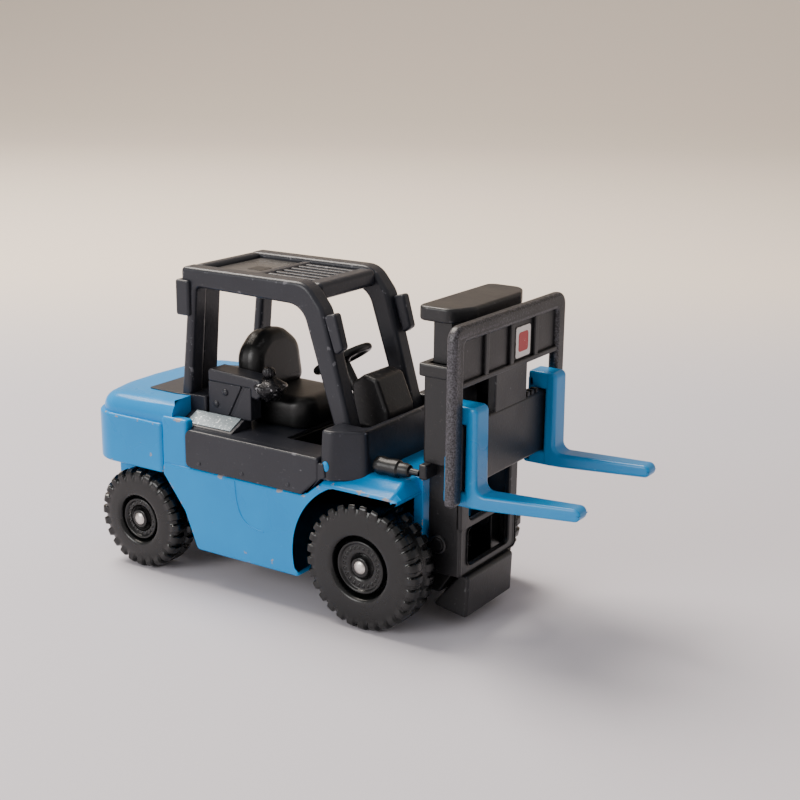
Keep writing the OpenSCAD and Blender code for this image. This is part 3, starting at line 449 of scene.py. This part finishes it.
for end in ("front", "rear"):
    v = wheelValues[end]
    for side, sign in (("left", 1), ("right", -1)):
        low, high = boxMm(end + "_wheel_" + side)
        radius = (high[2] - low[2]) / 2
        outer = max(abs(low[1]), abs(high[1]))
        shape = wheelShape(radius, high[1] - low[1], v)
        turn = rotation("X", -90 * sign)
        centre = ((low[0] + high[0]) / 2, sign * outer, (low[2] + high[2]) / 2)
        piece(end + "Wheel" + side.title(), [moved(shape, centre, turn)], tyrePlastic, end + "_wheelset",
              [end + "_wheel_" + side], sharp=50)
    low, high = boxMm(end + "_axle")
    r = (high[2] - low[2]) / 2
    half = (high[1] - low[1]) / 2
    pin = [(0, -half), (0.45 * r, -half + 0.02), (0.8 * r, -half + 0.1), (r, -half + 0.3), (r, half - 0.3),
           (0.8 * r, half - 0.1), (0.45 * r, half - 0.02), (0, half)]
    centre = ((low[0] + high[0]) / 2, 0, (low[2] + high[2]) / 2)
    piece(end + "Axle", [moved(turned(pin, 40), centre, rotation("X", 90))], steel, end + "_wheelset",
          [end + "_axle"])
print("wheels made")

# Blue casting
castingValues = dict(edge=0.3, domeRadius=1.5, topRise=0.8, ledge=17.4, top=19.2, archRadius=8.15, slope=1.3)


def weightPlan(y, back, front, corner):  # plan of the counterweight: rounded corners and a bowed tail
    return roundedLine([[front, y, 0.5], [back + 1.9, y, corner], [back + 0.25, y * 0.45, 9], [back, 0, 0],
                        [back + 0.25, -y * 0.45, 9], [back + 1.9, -y, corner], [front, -y, 0.5]], 10)


def upperTier(v):
    # the plan shrinks while it climbs: a quarter circle over the edge, then a slope up to the cab
    plan = weightPlan(10.35, -38.15, -20.0, 3.15)
    t = np.linspace(0, math.pi / 2, 9)
    low = v["top"] - v["domeRadius"]
    rows = [(0.25, v["ledge"] - 0.3), (0.0, v["ledge"] - 0.05), (0.0, low - 0.1)]
    rows += [(v["domeRadius"] * (1 - math.cos(a)), low + v["domeRadius"] * math.sin(a)) for a in t]
    rows += [(2.0, v["top"] + 0.03), (2.6, v["top"] + 0.05)]
    grid = np.stack([np.column_stack([insetLine(plan, i), np.full(len(plan), z)]) for i, z in rows])
    grid[..., 0] = np.minimum(grid[..., 0], -25.2)
    share = np.clip((grid[..., 0] + 38.6) / 13.4, 0, 1) * np.clip((grid[..., 2] - v["ledge"]) / 1.8, 0, 1)
    grid[..., 2] += v["topRise"] * share
    return gridShape(grid, capEnds=True, wear=np.zeros(len(rows)))


def sideWall(v):
    # one skin from the rear arch to the front wing; inside y 9.7 only the wing part goes on inwards,
    # and the wing's top falls away to its outer edge
    t = np.radians(np.linspace(201, 58, 40))
    arch = [[v["archRadius"] * math.cos(a), 6.85 + v["archRadius"] * math.sin(a), 0] for a in t]
    corners = [[-26.4, 11.8, 0.4], [-23.4, 8.0, 2], [-21.7, 3.9, 0.6]] + arch
    corners += [[4.3, 14.5, 0.3], [3.6, 16.0, 0.5], [-5.15, 16.0, 0.1], [-5.15, 15.1, 0.1],
                [-7.3, 13.15, 0.1], [-26.4, 13.15, 0.4]]
    line = roundedLine(corners, least=0.42)
    outer = edgeProfile(9.7, 10.8, 0.33)[7:]
    rows = [(0.3, 5.3, 0), (0.0, 5.5, 0), (0, 8.2, 0), (0, 8.5, 0), (0, 8.8, 0), (0, 9.7, 0), (0, 9.7, 0)]
    rows += [(0, y, 0) for y in (10.0, 10.3)] + [tuple(r) for r in outer]
    rings = []
    for number, (inset, y, worn) in enumerate(rows):
        ring = insetLine(line, inset)
        x = np.maximum(ring[:, 0], -8.2) if number < 6 else ring[:, 0]
        rings.append(np.column_stack([x, np.full(len(ring), y), ring[:, 1]]))
    grid = np.stack(rings)
    fall = np.clip((grid[..., 1] - 8.4) / 2.4, 0, 1) * np.clip((grid[..., 2] - 14.6) / 1.2, 0, 1)
    grid[..., 2] -= v["slope"] * fall * (grid[..., 0] > -5.4)
    return gridShape(grid, capEnds=True, wear=np.array([w for i, y, w in rows]))


v = castingValues
wall = sideWall(v)
step = block((-26.6, 9.3, 11.8), (-22.9, 10.6, 18.35), 0.35)
shapes = [plate(weightPlan(10.8, -38.6, -26.4, 3.6), 11.8, 17.45, "z", v["edge"]), upperTier(v),
          wall, flipped(wall), step, flipped(step),
          plate([[-5.1, 14.9, 0.1], [3.35, 14.9, 0.3], [3.35, 9.0, 0.2], [4.45, 9.0, 0.2], [4.45, 15.95, 0.5],
                 [-5.1, 15.95, 0.1]], -6.1, 6.1, "y", 0.1),
          block((-37.4, -6.3, 7.9), (-26.3, 6.3, 11.95), 0.3),
          block((-37.4, -6.3, 4.3), (-35.0, 6.3, 8.2), 0.3),
          block((-26.6, -9.7, 10.7), (-8.6, 9.7, 11.8), 0.1),
          block((-8.7, -5.2, 10.7), (-5.1, 5.2, 11.8), 0.1)]
for x in (-23.5, -10.5):
    shapes.append(moved(turned([(0, 0), (1.7, 0), (1.7, 6.2), (0, 6.2)], 32), (x, 0, 4.9)))
# a fine raised line down the side: a circle of radius lineRadius carried along a bending path
lineRadius = 0.1
t = np.linspace(0, 1, 26)
path = np.column_stack([-16.2 + 0.6 * t + 3.2 * t ** 3, 12.9 - 4.9 * np.sin(t * math.pi / 2)])
way = np.gradient(path, axis=0)
way /= np.linalg.norm(way, axis=1)[:, None]
around = np.linspace(0, 2 * math.pi, 10, endpoint=False)
tube = np.stack([path[:, :1] - way[:, 1:] * lineRadius * np.cos(around),
                 10.78 + lineRadius * np.sin(around) + 0 * path[:, :1],
                 path[:, 1:] + way[:, :1] * lineRadius * np.cos(around)], -1)
line = gridShape(tube, capEnds=True)
spot = turned([(0, -0.3), (0.3, -0.3), (0.42, 0), (0.3, 0.12), (0, 0.16)], 24)
spot["points"][:, 1] *= 1.35
spot = moved(spot, (-4.4, -10.6, 16.7), rotation("X", 90))
shapes += [line, flipped(line), spot]
piece("bodyCasting", shapes, enamel, "truck", ["body_casting"])

# Cowl: a rounded tub round the dash, leaning in to its top
cowlValues = dict(low=15.2, top=20.4, lean=0.4, edge=0.3)
v = cowlValues
tub = plate([[-5.15, -10.7, 0.3], [-3.9, -10.7, 1.3], [-0.6, -8.8, 1.0], [-0.6, 8.8, 1.0], [-3.9, 10.7, 1.3],
             [-5.15, 10.7, 0.3], [-5.15, 7.05, 0.3], [-1.8, 7.05, 0.6], [-1.8, -7.05, 0.6],
             [-5.15, -7.05, 0.3]],
            v["low"], v["top"], "z", v["edge"], middle=(16.5, 18.0, 19.3))
p = tub["points"]
climb = np.clip((p[:, 2] - v["low"]) / (v["top"] - v["low"]), 0, 1)
p[:, 1] -= np.sign(p[:, 1]) * v["lean"] * climb * (np.abs(p[:, 1]) > 8.2)
p[:, 0] -= v["lean"] * climb * (p[:, 0] > -1.3)
filler = plate([[-5.3, 17.0, 0.1], [-4.5, 17.0, 0.1], [-4.3, 15.5, 0.3], [-4.9, 15.3, 0.1], [-6.7, 13.5, 0.1],
                [-7.3, 13.3, 0.1], [-5.3, 15.35, 0.1]], 10.0, 10.83, "y", 0.12)
pocketFloor = block((-5.12, -7.2, 15.4), (-1.6, 7.2, 18.6), 0.12)
piece("cowl", [tub, filler, flipped(filler), pocketFloor], slate, "truck", ["body_casting"])
print("casting made")

# Side panels, deck and hood
panelValues = dict(edge=0.22, crease=17.5, ridge=18.5)
v = panelValues
panel = plate([[-23.0, 13.4, 0.6], [-23.0, v["crease"], 0.9], [-5.2, v["crease"], 0.2], [-5.2, 15.2, 0.4],
               [-7.4, 13.2, 0.5], [-22.2, 13.2, 0.6]], 9.7, 10.9, "y", v["edge"])
ridge = moved(plate([[6.0, 17.0, 0], [9.6, 17.0, 0], [9.4, v["crease"] + 0.02, 0], [7.3, v["ridge"], 0.2],
                     [6.0, v["ridge"], 0]], -25.0, -17.6, "x", 0.08))
deck = plate([[-23.0, -9.8, 0], [-5.2, -9.8, 0], [-5.2, -6.9, 0], [-12.2, -6.9, 0.3], [-12.2, 6.9, 0.3],
              [-5.2, 6.9, 0], [-5.2, 9.8, 0], [-23.0, 9.8, 0]], 16.5, v["crease"] - 0.04, "z", 0.08)
hood = plate([[-32.1, -6.4, 0.5], [-32.1, 6.4, 0.5], [-27.5, 7.2, 0.4], [-23.0, 7.2, 0.3], [-23.0, -7.2, 0.3],
              [-27.5, -7.2, 0.4]], 17.5, 19.78, "z", 0.1)
p = hood["points"]
p[:, 2] += (p[:, 2] > 18.5) * 0.06 * (p[:, 0] + 32.1)
studs = []
for x in (-21.0, -15.1, -9.0):
    stud = turned([(0, 0), (0.26, 0), (0.24, 0.07), (0.12, 0.12), (0, 0.13)], 16)
    studs.append(moved(stud, (x, -10.88, 13.95), rotation("X", 90)))
studs += [flipped(stud) for stud in studs]
piece("hoodDeck", studs + [panel, flipped(panel), ridge, flipped(ridge), deck, hood], slate, "truck",
      ["hood_deck"])

# Overhead guard
guardValues = dict(edge=0.45, top=34.4, ribs=7, ribPitch=1.32, ribWidth=0.66)
v = guardValues
top = v["top"]
side = plate([[-27.0, 17.45, 0.2], [-25.5, top - 3.0, 0.5], [-26.3, top - 2.2, 0.5], [-26.3, top - 0.1, 0.5],
              [-9.5, top - 0.02, 2.8], [-7.4, top - 2.6, 2.4], [-3.6, 18.65, 0.2], [-5.7, 18.65, 0.2],
              [-10.1, top - 2.5, 2.4], [-24.3, top - 2.2, 0.6], [-25.6, 17.45, 0.2]],
             4.8, 7.0, "y", v["edge"])
lampBox = block((-26.8, 6.1, 29.0), (-24.9, 7.45, 32.9), 0.25)
lampBar = plate([[-7.3, 31.2, 0.3], [-5.9, 31.6, 0.3], [-4.9, 28.0, 0.4], [-5.9, 27.2, 0.3]],
                5.7, 6.9, "y", 0.25)
shapes = [side, flipped(side), lampBox, flipped(lampBox), lampBar, flipped(lampBar),
          block((-26.2, -5.0, top - 2.1), (-24.8, 5.0, top - 0.15), 0.35, axis="y"),
          block((-11.1, -5.0, top - 2.2), (-9.0, 5.0, top - 0.35), 0.4, axis="y"),
          block((-18.6, -5.0, top - 1.4), (-17.4, 5.0, top - 0.4), 0.25, axis="y"),
          plate([[-26.7, 19.6, 0], [-25.7, top - 2.1, 0], [-24.8, top - 2.1, 0], [-25.8, 19.6, 0]],
                -4.6, -2.1, "y", 0.15)]
middleRib = (v["ribs"] - 1) / 2
for number in range(v["ribs"]):
    y = (number - middleRib) * v["ribPitch"]
    half = v["ribWidth"] / 2
    shapes.append(block((-17.6, y - half, top - 1.4), (-10.9, y + half, top - 0.5), 0.14))
piece("overheadGuard", shapes, slate, "truck", ["overhead_guard"])
# the roof panel takes the paler copy of the slate paint: painted light on the top face
piece("roofPanel", [block((-25.0, -5.0, top - 1.4), (-18.5, 5.0, top - 0.7), 0.1)], roofPaintedLight, "truck")
# a thin black sheet on the roof stands for the slot's hollow: painted shade
roofSlotPaintedShade = block((-21.6, -1.6, top - 0.75), (-19.6, 0.6, top - 0.67), 0.02, corner=0.3)
piece("roofSlotPaintedShade", [roofSlotPaintedShade], blackPlastic, "truck")
print("guard made")

# Console and levers
consoleValues = dict(bolts=((-20.2, 21.2), (-21.5, 19.7)), boltRadius=0.4, boltHeight=0.22)
v = consoleValues
shapes = [block((-22.5, -7.0, 18.5), (-16.75, -5.3, 22.3), 0.1),
          plate([[-22.6, 18.5, 0.2], [-19.9, 18.5, 0.1], [-17.95, 22.2, 0.1], [-22.6, 22.2, 0.2]],
                -7.2, -6.5, "y", 0.12),
          plate([[-19.5, 18.5, 0.1], [-16.7, 18.5, 0.2], [-16.7, 22.2, 0.2], [-17.5, 22.2, 0.1]],
                -7.2, -6.5, "y", 0.12),
          plate([[-22.6, 22.15, 0.2], [-22.6, 23.6, 0.4], [-15.5, 23.2, 0.5], [-14.7, 22.0, 0.4],
                 [-15.9, 21.0, 0.4], [-16.7, 21.2, 0.2], [-16.7, 22.15, 0.2]], -7.25, -4.6, "y", 0.22)]
t = np.linspace(0, math.pi / 2, 5)
dome = [(v["boltRadius"] * math.cos(a), v["boltHeight"] * math.sin(a)) for a in t]
bolt = turned([(0, -0.3), (v["boltRadius"], -0.3)] + dome, 20)
for x, z in v["bolts"]:
    shapes.append(moved(bolt, (x, -7.2, z), rotation("X", 90)))
piece("armrestConsole", shapes, slate, "truck", ["armrest_console"])

leverValues = dict(base=1.85, knob=0.7, knurls=14)
v = leverValues


def lumpy(angle, rows):  # a few uneven lobes round the base
    return 0.09 * np.sin(5 * angle + 2 * rows[:, 1:2]) * (rows[:, :1] > 0.8)


def knurled(angle, rows):  # fine ridges round the knob
    return 0.05 * np.sin(v["knurls"] * angle) * (rows[:, :1] > 0.6)


base = turned([(0, -1.0), (0.9, -0.95), (1.25, -0.6), (1.7, 0.1), (v["base"], 0.5), (1.7, 0.75), (1.2, 1.05),
               (0.8, 1.35), (0.5, 1.42), (0, 1.44)], 48, wave=lumpy)
knob = turned([(0, 1.2), (0.46, 1.2), (0.42, 1.45), (0.6, 1.6), (v["knob"], 1.75), (0.66, 2.1), (0.56, 2.4),
               (0.42, 2.5), (0, 2.54)], 84, wave=knurled)
for shape in (base, knob):
    shape["wear"] = np.clip(np.hypot(shape["points"][:, 0], shape["points"][:, 1]) - 0.9, 0, 1)
piece("controlLevers", [moved(base, (-15.2, -5.8, 21.9)), moved(knob, (-15.3, -5.8, 21.9))], leverMetal,
      "truck", ["control_levers"], sharp=60)
print("console made")

# Seat, dash and steering wheel
seatValues = dict(width=8.8, back=-21.1, front=-11.6, low=17.55, cushion=20.9, top=26.9, lean=-6)
v = seatValues
half = v["width"] / 2
cushionPlan = roundedLine([[v["back"] + 1.4, -half, 1.6], [v["front"], -half + 0.3, 2.2],
                           [v["front"], half - 0.3, 2.2], [v["back"] + 1.4, half, 1.6]], 8)
rows = [(inset, v["low"] + rise) for inset, rise in ((0.6, 0), (0.15, 0.1), (0, 0.5))]
rows += [(inset, v["cushion"] - drop) for inset, drop in ((0, 1.3), (0.06, 0.8), (0.25, 0.42), (0.55, 0.16),
                                                          (0.95, 0.02), (1.45, 0))]
cushion = gridShape(np.stack([np.column_stack([insetLine(cushionPlan, i), np.full(len(cushionPlan), z)])
                              for i, z in rows]), capEnds=True)
rise = v["top"] - v["cushion"] + 0.9
back = plate([[-half, 0, 0.4], [-half + 0.3, 5.0, 2.6], [-1.6, rise, 2.6], [1.6, rise, 2.6],
              [half - 0.3, 5.0, 2.6], [half, 0, 0.4]], 0, 3.3, "x", 1.25)
back = moved(back, (v["back"], 0, v["cushion"] - 0.9), rotation("Y", v["lean"]))
piece("seat", [cushion, back], blackPlastic, "truck", ["seat"], sharp=50)

dash = plate([[-6.6, 18.65, 0], [-6.9, 23.3, 0.4], [-5.3, 24.5, 0.6], [-3.7, 24.1, 0.6], [-2.3, 20.9, 0.5],
              [-2.0, 18.65, 0]], -2.6, 2.6, "y", 0.4)
hump = plate([[-5.9, 23.0, 0.3], [-5.2, 24.5, 0.4], [-4.0, 24.2, 0.4], [-3.6, 22.6, 0.3]],
             -1.2, 1.4, "y", 0.25)
piece("dashboard", [dash, hump], softMast, "truck", ["dashboard"])

wheelRim = dict(radius=3.45, thick=0.42, tilt=32, spokes=3)
v = wheelRim
a = np.linspace(0, 2 * math.pi, 64, endpoint=False)[:, None]
b = np.linspace(0, 2 * math.pi, 16, endpoint=False)[None, :]
ring = v["radius"] - v["thick"] + v["thick"] * np.cos(b)   # torus: a circle carried round a circle
torus = np.stack([ring * np.cos(a), ring * np.sin(a), v["thick"] * np.sin(b) + 0 * a], -1)
column = turned([(0, -4.7), (0.55, -4.7), (0.55, -0.5), (0.9, -0.25), (0.95, 0.05), (0.7, 0.25), (0, 0.3)], 28)
shapes = [gridShape(torus, closeV=True), column]
for number in range(v["spokes"]):
    shapes.append(moved(block((0, -0.35, -0.3), (3.1, 0.35, 0.2), 0.12), turn=rotation("Z", 120 * number)))
shapes = [moved(shape, (-9.8, 0, 25.0), rotation("Y", -v["tilt"])) for shape in shapes]
piece("steeringWheel", shapes, blackPlastic, "truck", ["steering_wheel"])
print("cab made")

# Mast
mastValues = dict(edge=0.2, sleeve=(4.7, 8.2, 6.8, 17.9, 28.1), bore=(5.3, 7.6), slot=2.2, lip=0.4, ladder=5.8)
v = mastValues


def channel(back, front, y, inner):  # plan of a box open along the middle of its front
    slot, corner = v["slot"], 0.45
    boreBack, boreFront = v["bore"]
    return [[front, -slot, 0.1], [front, -y, corner], [back, -y, corner], [back, y, corner],
            [front, y, corner], [front, slot, 0.1], [front - 0.6, slot, 0], [boreFront, inner, 0],
            [boreBack, inner, 0], [boreBack, -inner, 0], [boreFront, -inner, 0], [front - 0.6, -slot, 0]]


back, front, y, low, high = v["sleeve"]
web = block((4.9, 5.1, 6.0), (8.7, v["ladder"], 17.98), 0.2)
lug = block((5.0, 5.6, 16.45), (5.9, 7.9, 17.98), 0.15)
boss = turned([(0, 0), (0.95, 0), (0.98, 0.2), (0.85, 0.33), (0.7, 0.3), (0.62, 0.12), (0, 0.1)], 32,
              wear=[0, 0, 1, 1, 1, 0, 0])
boss = moved(boss, (6.2, -v["ladder"], 9.2), rotation("X", 90))
shapes = [plate(channel(back, front, y, 6.2), low, high - 0.1, "z", 0.12),
          plate(channel(back - v["lip"], front + v["lip"], y + v["lip"], 6.25), high - 1.3, high, "z", 0.2),
          web, flipped(web), lug, flipped(lug), boss, flipped(boss),
          plate([[-5.8, 10.95, 0.2], [5.8, 10.95, 0.2], [5.8, 19.4, 0.4], [2.6, 19.4, 0.2], [2.6, 17.9, 0.2],
                 [4.2, 17.9, 0.4], [4.2, 11.7, 0.7], [-4.2, 11.7, 0.7], [-4.2, 17.9, 0.4], [-2.6, 17.9, 0.2],
                 [-2.6, 19.4, 0.2], [-5.8, 19.4, 0.4]], 8.1, 8.8, "x", v["edge"]),
          hoop(roundedLine([[-5.8, 6.0, 0.5], [5.8, 6.0, 0.5], [5.8, 11.3, 0.5], [-5.8, 11.3, 0.5]]),
               roundedLine([[-4.2, 6.8, 0.7], [4.2, 6.8, 0.7], [4.2, 10.9, 0.7], [-4.2, 10.9, 0.7]]), 8.1, 8.8),
          plate([[4.8, 1.95, 0.4], [9.0, 1.2, 0.4], [9.15, 5.7, 0.4], [8.1, 6.05, 0.2]], -4.7, 4.7, "y", 0.3)]
piece("outerMast", shapes, mastPlastic, "truck", ["outer_mast"])

cap = plate([[4.0, -7.1, 1.0], [8.0, -7.1, 1.6], [9.2, -4.6, 1.6], [9.2, 4.6, 1.6], [8.0, 7.1, 1.6],
             [4.0, 7.1, 1.0]], 32.32, 33.8, "z", 0.28)
piece("mastCap", [cap], mastPlastic, "inner_stage", ["mast_cap"])

# Tilt cylinders: a lumpy turned body and its rod, lying along the truck
ram = turned([(0, 0), (0.8, 0.03), (0.9, 0.2), (0.96, 0.7), (0.85, 1.4), (0.94, 2.1), (0.9, 2.7), (0.72, 2.9),
              (0.74, 3.6), (0.62, 4.0), (0.36, 4.1), (0.34, 5.1), (0, 5.12)], 32)
for name, sign in (("left", 1), ("right", -1)):
    placed = moved(ram, (-0.2, sign * 7.55, 16.95), rotation("Y", 90))
    piece("tiltCylinder" + name.title(), [placed], blackPlastic, "truck",
          ["tilt_cylinder_" + name])
print("mast made")

# Fork carriage
carriageValues = dict(edge=0.4, back=9.9, front=11.0, half=11.2, top=33.1, low=16.7, foot=15.4, upright=1.8,
                      ribs=(-4.975, 0, 4.975), panelStep=4.95, teeth=(-5.9, -4.6, 3.9, 4.8, 5.8))
v = carriageValues
h, w, lo, hi = v["half"], v["half"] - v["upright"], v["back"], v["front"]
frameShape = plate([[-h, v["foot"], 0.3], [-h, v["top"], 1.4], [h, v["top"], 1.4], [h, v["foot"], 0.3],
                    [w, v["foot"], 0.3], [w, 31.4, 0.4], [-w, 31.4, 0.4], [-w, v["foot"], 0.3]], lo, hi, "x",
                   v["edge"])
shapes = [block((lo, -w - 0.2, v["low"]), (hi - 0.06, w + 0.2, 23.3), 0.25, axis="x"),
          block((lo, -3.2, 23.0), (hi - 0.12, 3.2, 27.2), 0.15, axis="x"),
          block((lo, -w - 0.2, 26.95), (hi - 0.09, w + 0.2, 27.5), 0.12, axis="x")]
for y in v["ribs"]:
    shapes.append(block((lo, y - 0.38, 27.3), (hi - 0.12, y + 0.38, 31.6), 0.12, axis="x"))
for y in (-2.5 - v["panelStep"], -2.5, 2.5, 2.5 + v["panelStep"]):
    shapes.append(block((lo, y - 2.1, 27.3), (lo + 0.66, y + 2.1, 31.5), 0.05, axis="x"))
for y in v["teeth"]:
    shapes.append(block((lo + 0.1, y - 0.3, 23.1), (hi - 0.2, y + 0.3, 23.75), 0.12, axis="x"))
outside = frameShape["points"][:, 1] < 0.5 - h
frameShape["wear"] = np.where(outside, 1.0, frameShape["wear"] * 0.7)
piece("backrestFrame", [frameShape], wornPlastic, "carriage", ["fork_carriage"])
piece("carriagePlates", shapes, mastPlastic, "carriage", ["fork_carriage"])

# the sticker and its plain mark lie on the face of a panel
face = v["back"] + 0.66
sticker = block((face, 1.0, 27.7), (face + 0.12, 4.0, 30.9), 0.04, corner=0.3, axis="x")
mark = block((face + 0.05, 1.5, 28.3), (face + 0.15, 3.5, 30.3), 0.03, corner=0.35, axis="x")
piece("badgePlate", [sticker], foil, "carriage", ["badge_plate"])
piece("badgeMark", [mark], redInk, "carriage")

# Forks: one outline with hooks over and under the plate, narrowing towards a rounded tip
forkValues = dict(width=2.5, edge=0.36, heel=12.3, tip=23.1, rise=4.2, outer=4.5, inner=0.8, taperFrom=15.3,
                  middle=8.05)
v = forkValues
half = v["width"] / 2
tip = v["tip"]
rake = math.tan(math.radians(v["rise"])) * (tip - v["heel"])
shank = plate([[11.05, 15.1, 0.5], [13.1, 15.15, 2.0], [tip, 15.1 + rake, 0.62], [tip, 16.4 + rake, 0.62],
               [12.4, 16.6, 0.9], [v["heel"], 25.2, 0.6], [11.05, 25.2, 0.5]], -half, half, "y", v["edge"],
              middle=(-0.6, 0, 0.6))
hooks = [block((9.05, -half + 0.02, 23.36), (11.9, half - 0.02, 25.19), 0.3, axis="y"),
         block((9.05, -half + 0.02, 22.4), (9.85, half - 0.02, 24.6), 0.2, axis="y"),
         block((8.7, -half + 0.02, 15.12), (12.4, half - 0.02, 16.64), 0.3, axis="y"),
         block((8.7, -half + 0.02, 15.14), (9.85, half - 0.02, 20.1), 0.35, axis="y")]
for name, sign in (("left", 1), ("right", -1)):
    p = shank["points"].copy()
    along = np.clip(p[:, 0] - v["taperFrom"], 0, None)
    outwards = p[:, 1] * sign > 0
    slim = np.where(outwards, math.tan(math.radians(v["outer"])), math.tan(math.radians(v["inner"]))) * along
    p[:, 1] *= 1 - slim / half
    shapes = [moved(shape, (0, sign * v["middle"], 0)) for shape in [dict(shank, points=p)] + hooks]
    piece("fork" + name.title(), shapes, forkPlastic, "carriage", ["fork_" + name])
print("carriage made")

# Floor: a wide level sheet that curves up far behind the truck, cool in front and warm behind
viewYaw = 33.2   # degrees round z; the sheet is squared up to the camera
columns = 5
floorValues = dict(reach=1.6, bend=0.5, near="#CDCAD1", far="#F7EADA", fade=(0.06, 0.2), cloudSize=60)
v = floorValues
u = np.linspace(-v["reach"], v["reach"], columns)
t = np.linspace(0, math.pi / 2, 12)
away = np.concatenate([[-v["reach"], 0, 0.3], 0.5 + v["bend"] * np.sin(t), [0.5 + v["bend"]]])
up = np.concatenate([[0, 0, 0], v["bend"] * (1 - np.cos(t)), [1.6]])
size = (len(away), columns)
sheet = np.stack([np.broadcast_to(u, size), np.broadcast_to(away[:, None], size),
                  np.broadcast_to(up[:, None], size)], -1)
index = np.arange(len(away) * columns).reshape(size)
quads = np.stack([index[:-1, :-1], index[:-1, 1:], index[1:, 1:], index[1:, :-1]], -1).reshape(-1, 4)
turnFloor = rotation("Z", viewYaw)
mesh = bpy.data.meshes.new("floor")
mesh.from_pydata((sheet.reshape(-1, 3) @ turnFloor.T).tolist(), [], quads.tolist())
mesh.shade_smooth()
floorSkin = bpy.data.materials.new("floorPaper")
floorSkin.use_nodes = True
tree = floorSkin.node_tree
tree.nodes.clear()
place = addNode(tree, "ShaderNodeTexCoord").outputs["Object"]
farWay = (-math.sin(math.radians(viewYaw)), math.cos(math.radians(viewYaw)), 0.0)
level = addNode(tree, "ShaderNodeVectorMath", {0: place, 1: farWay}, operation="DOT_PRODUCT")
fade = addNode(tree, "ShaderNodeMapRange", {"Value": level.outputs["Value"], "From Min": v["fade"][0],
               "From Max": v["fade"][1]}, interpolation_type="SMOOTHSTEP")
tint = addNode(tree, "ShaderNodeMix", {0: fade.outputs[0], 6: colour(v["near"]), 7: colour(v["far"])},
               data_type="RGBA")
cloud = noise(tree, place, v["cloudSize"], 2.0)
grain = addNode(tree, "ShaderNodeBump", {"Height": cloud, "Strength": 0.05, "Distance": 0.5 * mm})
skinNode = addNode(tree, "ShaderNodeBsdfPrincipled", {"Base Color": tint.outputs[2], "Roughness": 0.75,
                   "Normal": grain.outputs[0]})
tree.links.new(skinNode.outputs[0], addNode(tree, "ShaderNodeOutputMaterial").inputs[0])
mesh.materials.append(floorSkin)
floorSheet = bpy.data.objects.new("floor", mesh)
bpy.context.scene.collection.objects.link(floorSheet)
print("floor made")

# Light: soft and warm from the upper left and behind, a weaker fill on the near side
lightValues = dict(
    key=dict(place=(-0.26, 0.04, 0.42), size=0.3, power=4.0, tint="#FFF5EA"),
    side=dict(place=(-0.16, -0.42, 0.2), size=0.26, power=1.3, tint="#FFFDFB"),
    sky=dict(tint="#E6E1DF", strength=0.7))
for name in ("key", "side"):
    v = lightValues[name]
    lamp = bpy.data.lights.new(name + "Light", "AREA")
    lamp.shape = "DISK"
    lamp.size = v["size"]
    lamp.energy = v["power"]
    lamp.color = colour(v["tint"])[:3]
    light = bpy.data.objects.new(name + "Light", lamp)
    bpy.context.scene.collection.objects.link(light)
    place = Vector(v["place"])
    light.matrix_world = Matrix.Translation(place) @ place.to_track_quat("Z", "Y").to_matrix().to_4x4()
world = bpy.data.worlds.new("softSky")
world.use_nodes = True
sky = world.node_tree.nodes["Background"]
sky.inputs["Color"].default_value = colour(lightValues["sky"]["tint"])
sky.inputs["Strength"].default_value = lightValues["sky"]["strength"]
bpy.context.scene.world = world

# Camera
cameraValues = dict(place=(84.69, -121.26, 62.06), yaw=viewYaw, pitch=15.6, roll=0.6, lens=64.35)
v = cameraValues
a, e, r = (math.radians(v[key]) for key in ("yaw", "pitch", "roll"))
back = np.array([math.sin(a) * math.cos(e), -math.cos(a) * math.cos(e), math.sin(e)])
right = np.array([math.cos(a), math.sin(a), 0])
up = np.cross(back, right)
axes = np.column_stack([right * math.cos(r) + up * math.sin(r), up * math.cos(r) - right * math.sin(r), back])
lens = bpy.data.cameras.new("camera")
lens.lens = v["lens"]
lens.sensor_width = 36
lens.clip_start = 0.002
lens.clip_end = 20
camera = bpy.data.objects.new("camera", lens)
camera.matrix_world = Matrix.Translation(np.array(v["place"]) * mm) @ Matrix(axes.tolist()).to_4x4()
bpy.context.scene.collection.objects.link(camera)
bpy.context.scene.camera = camera
print("camera made")
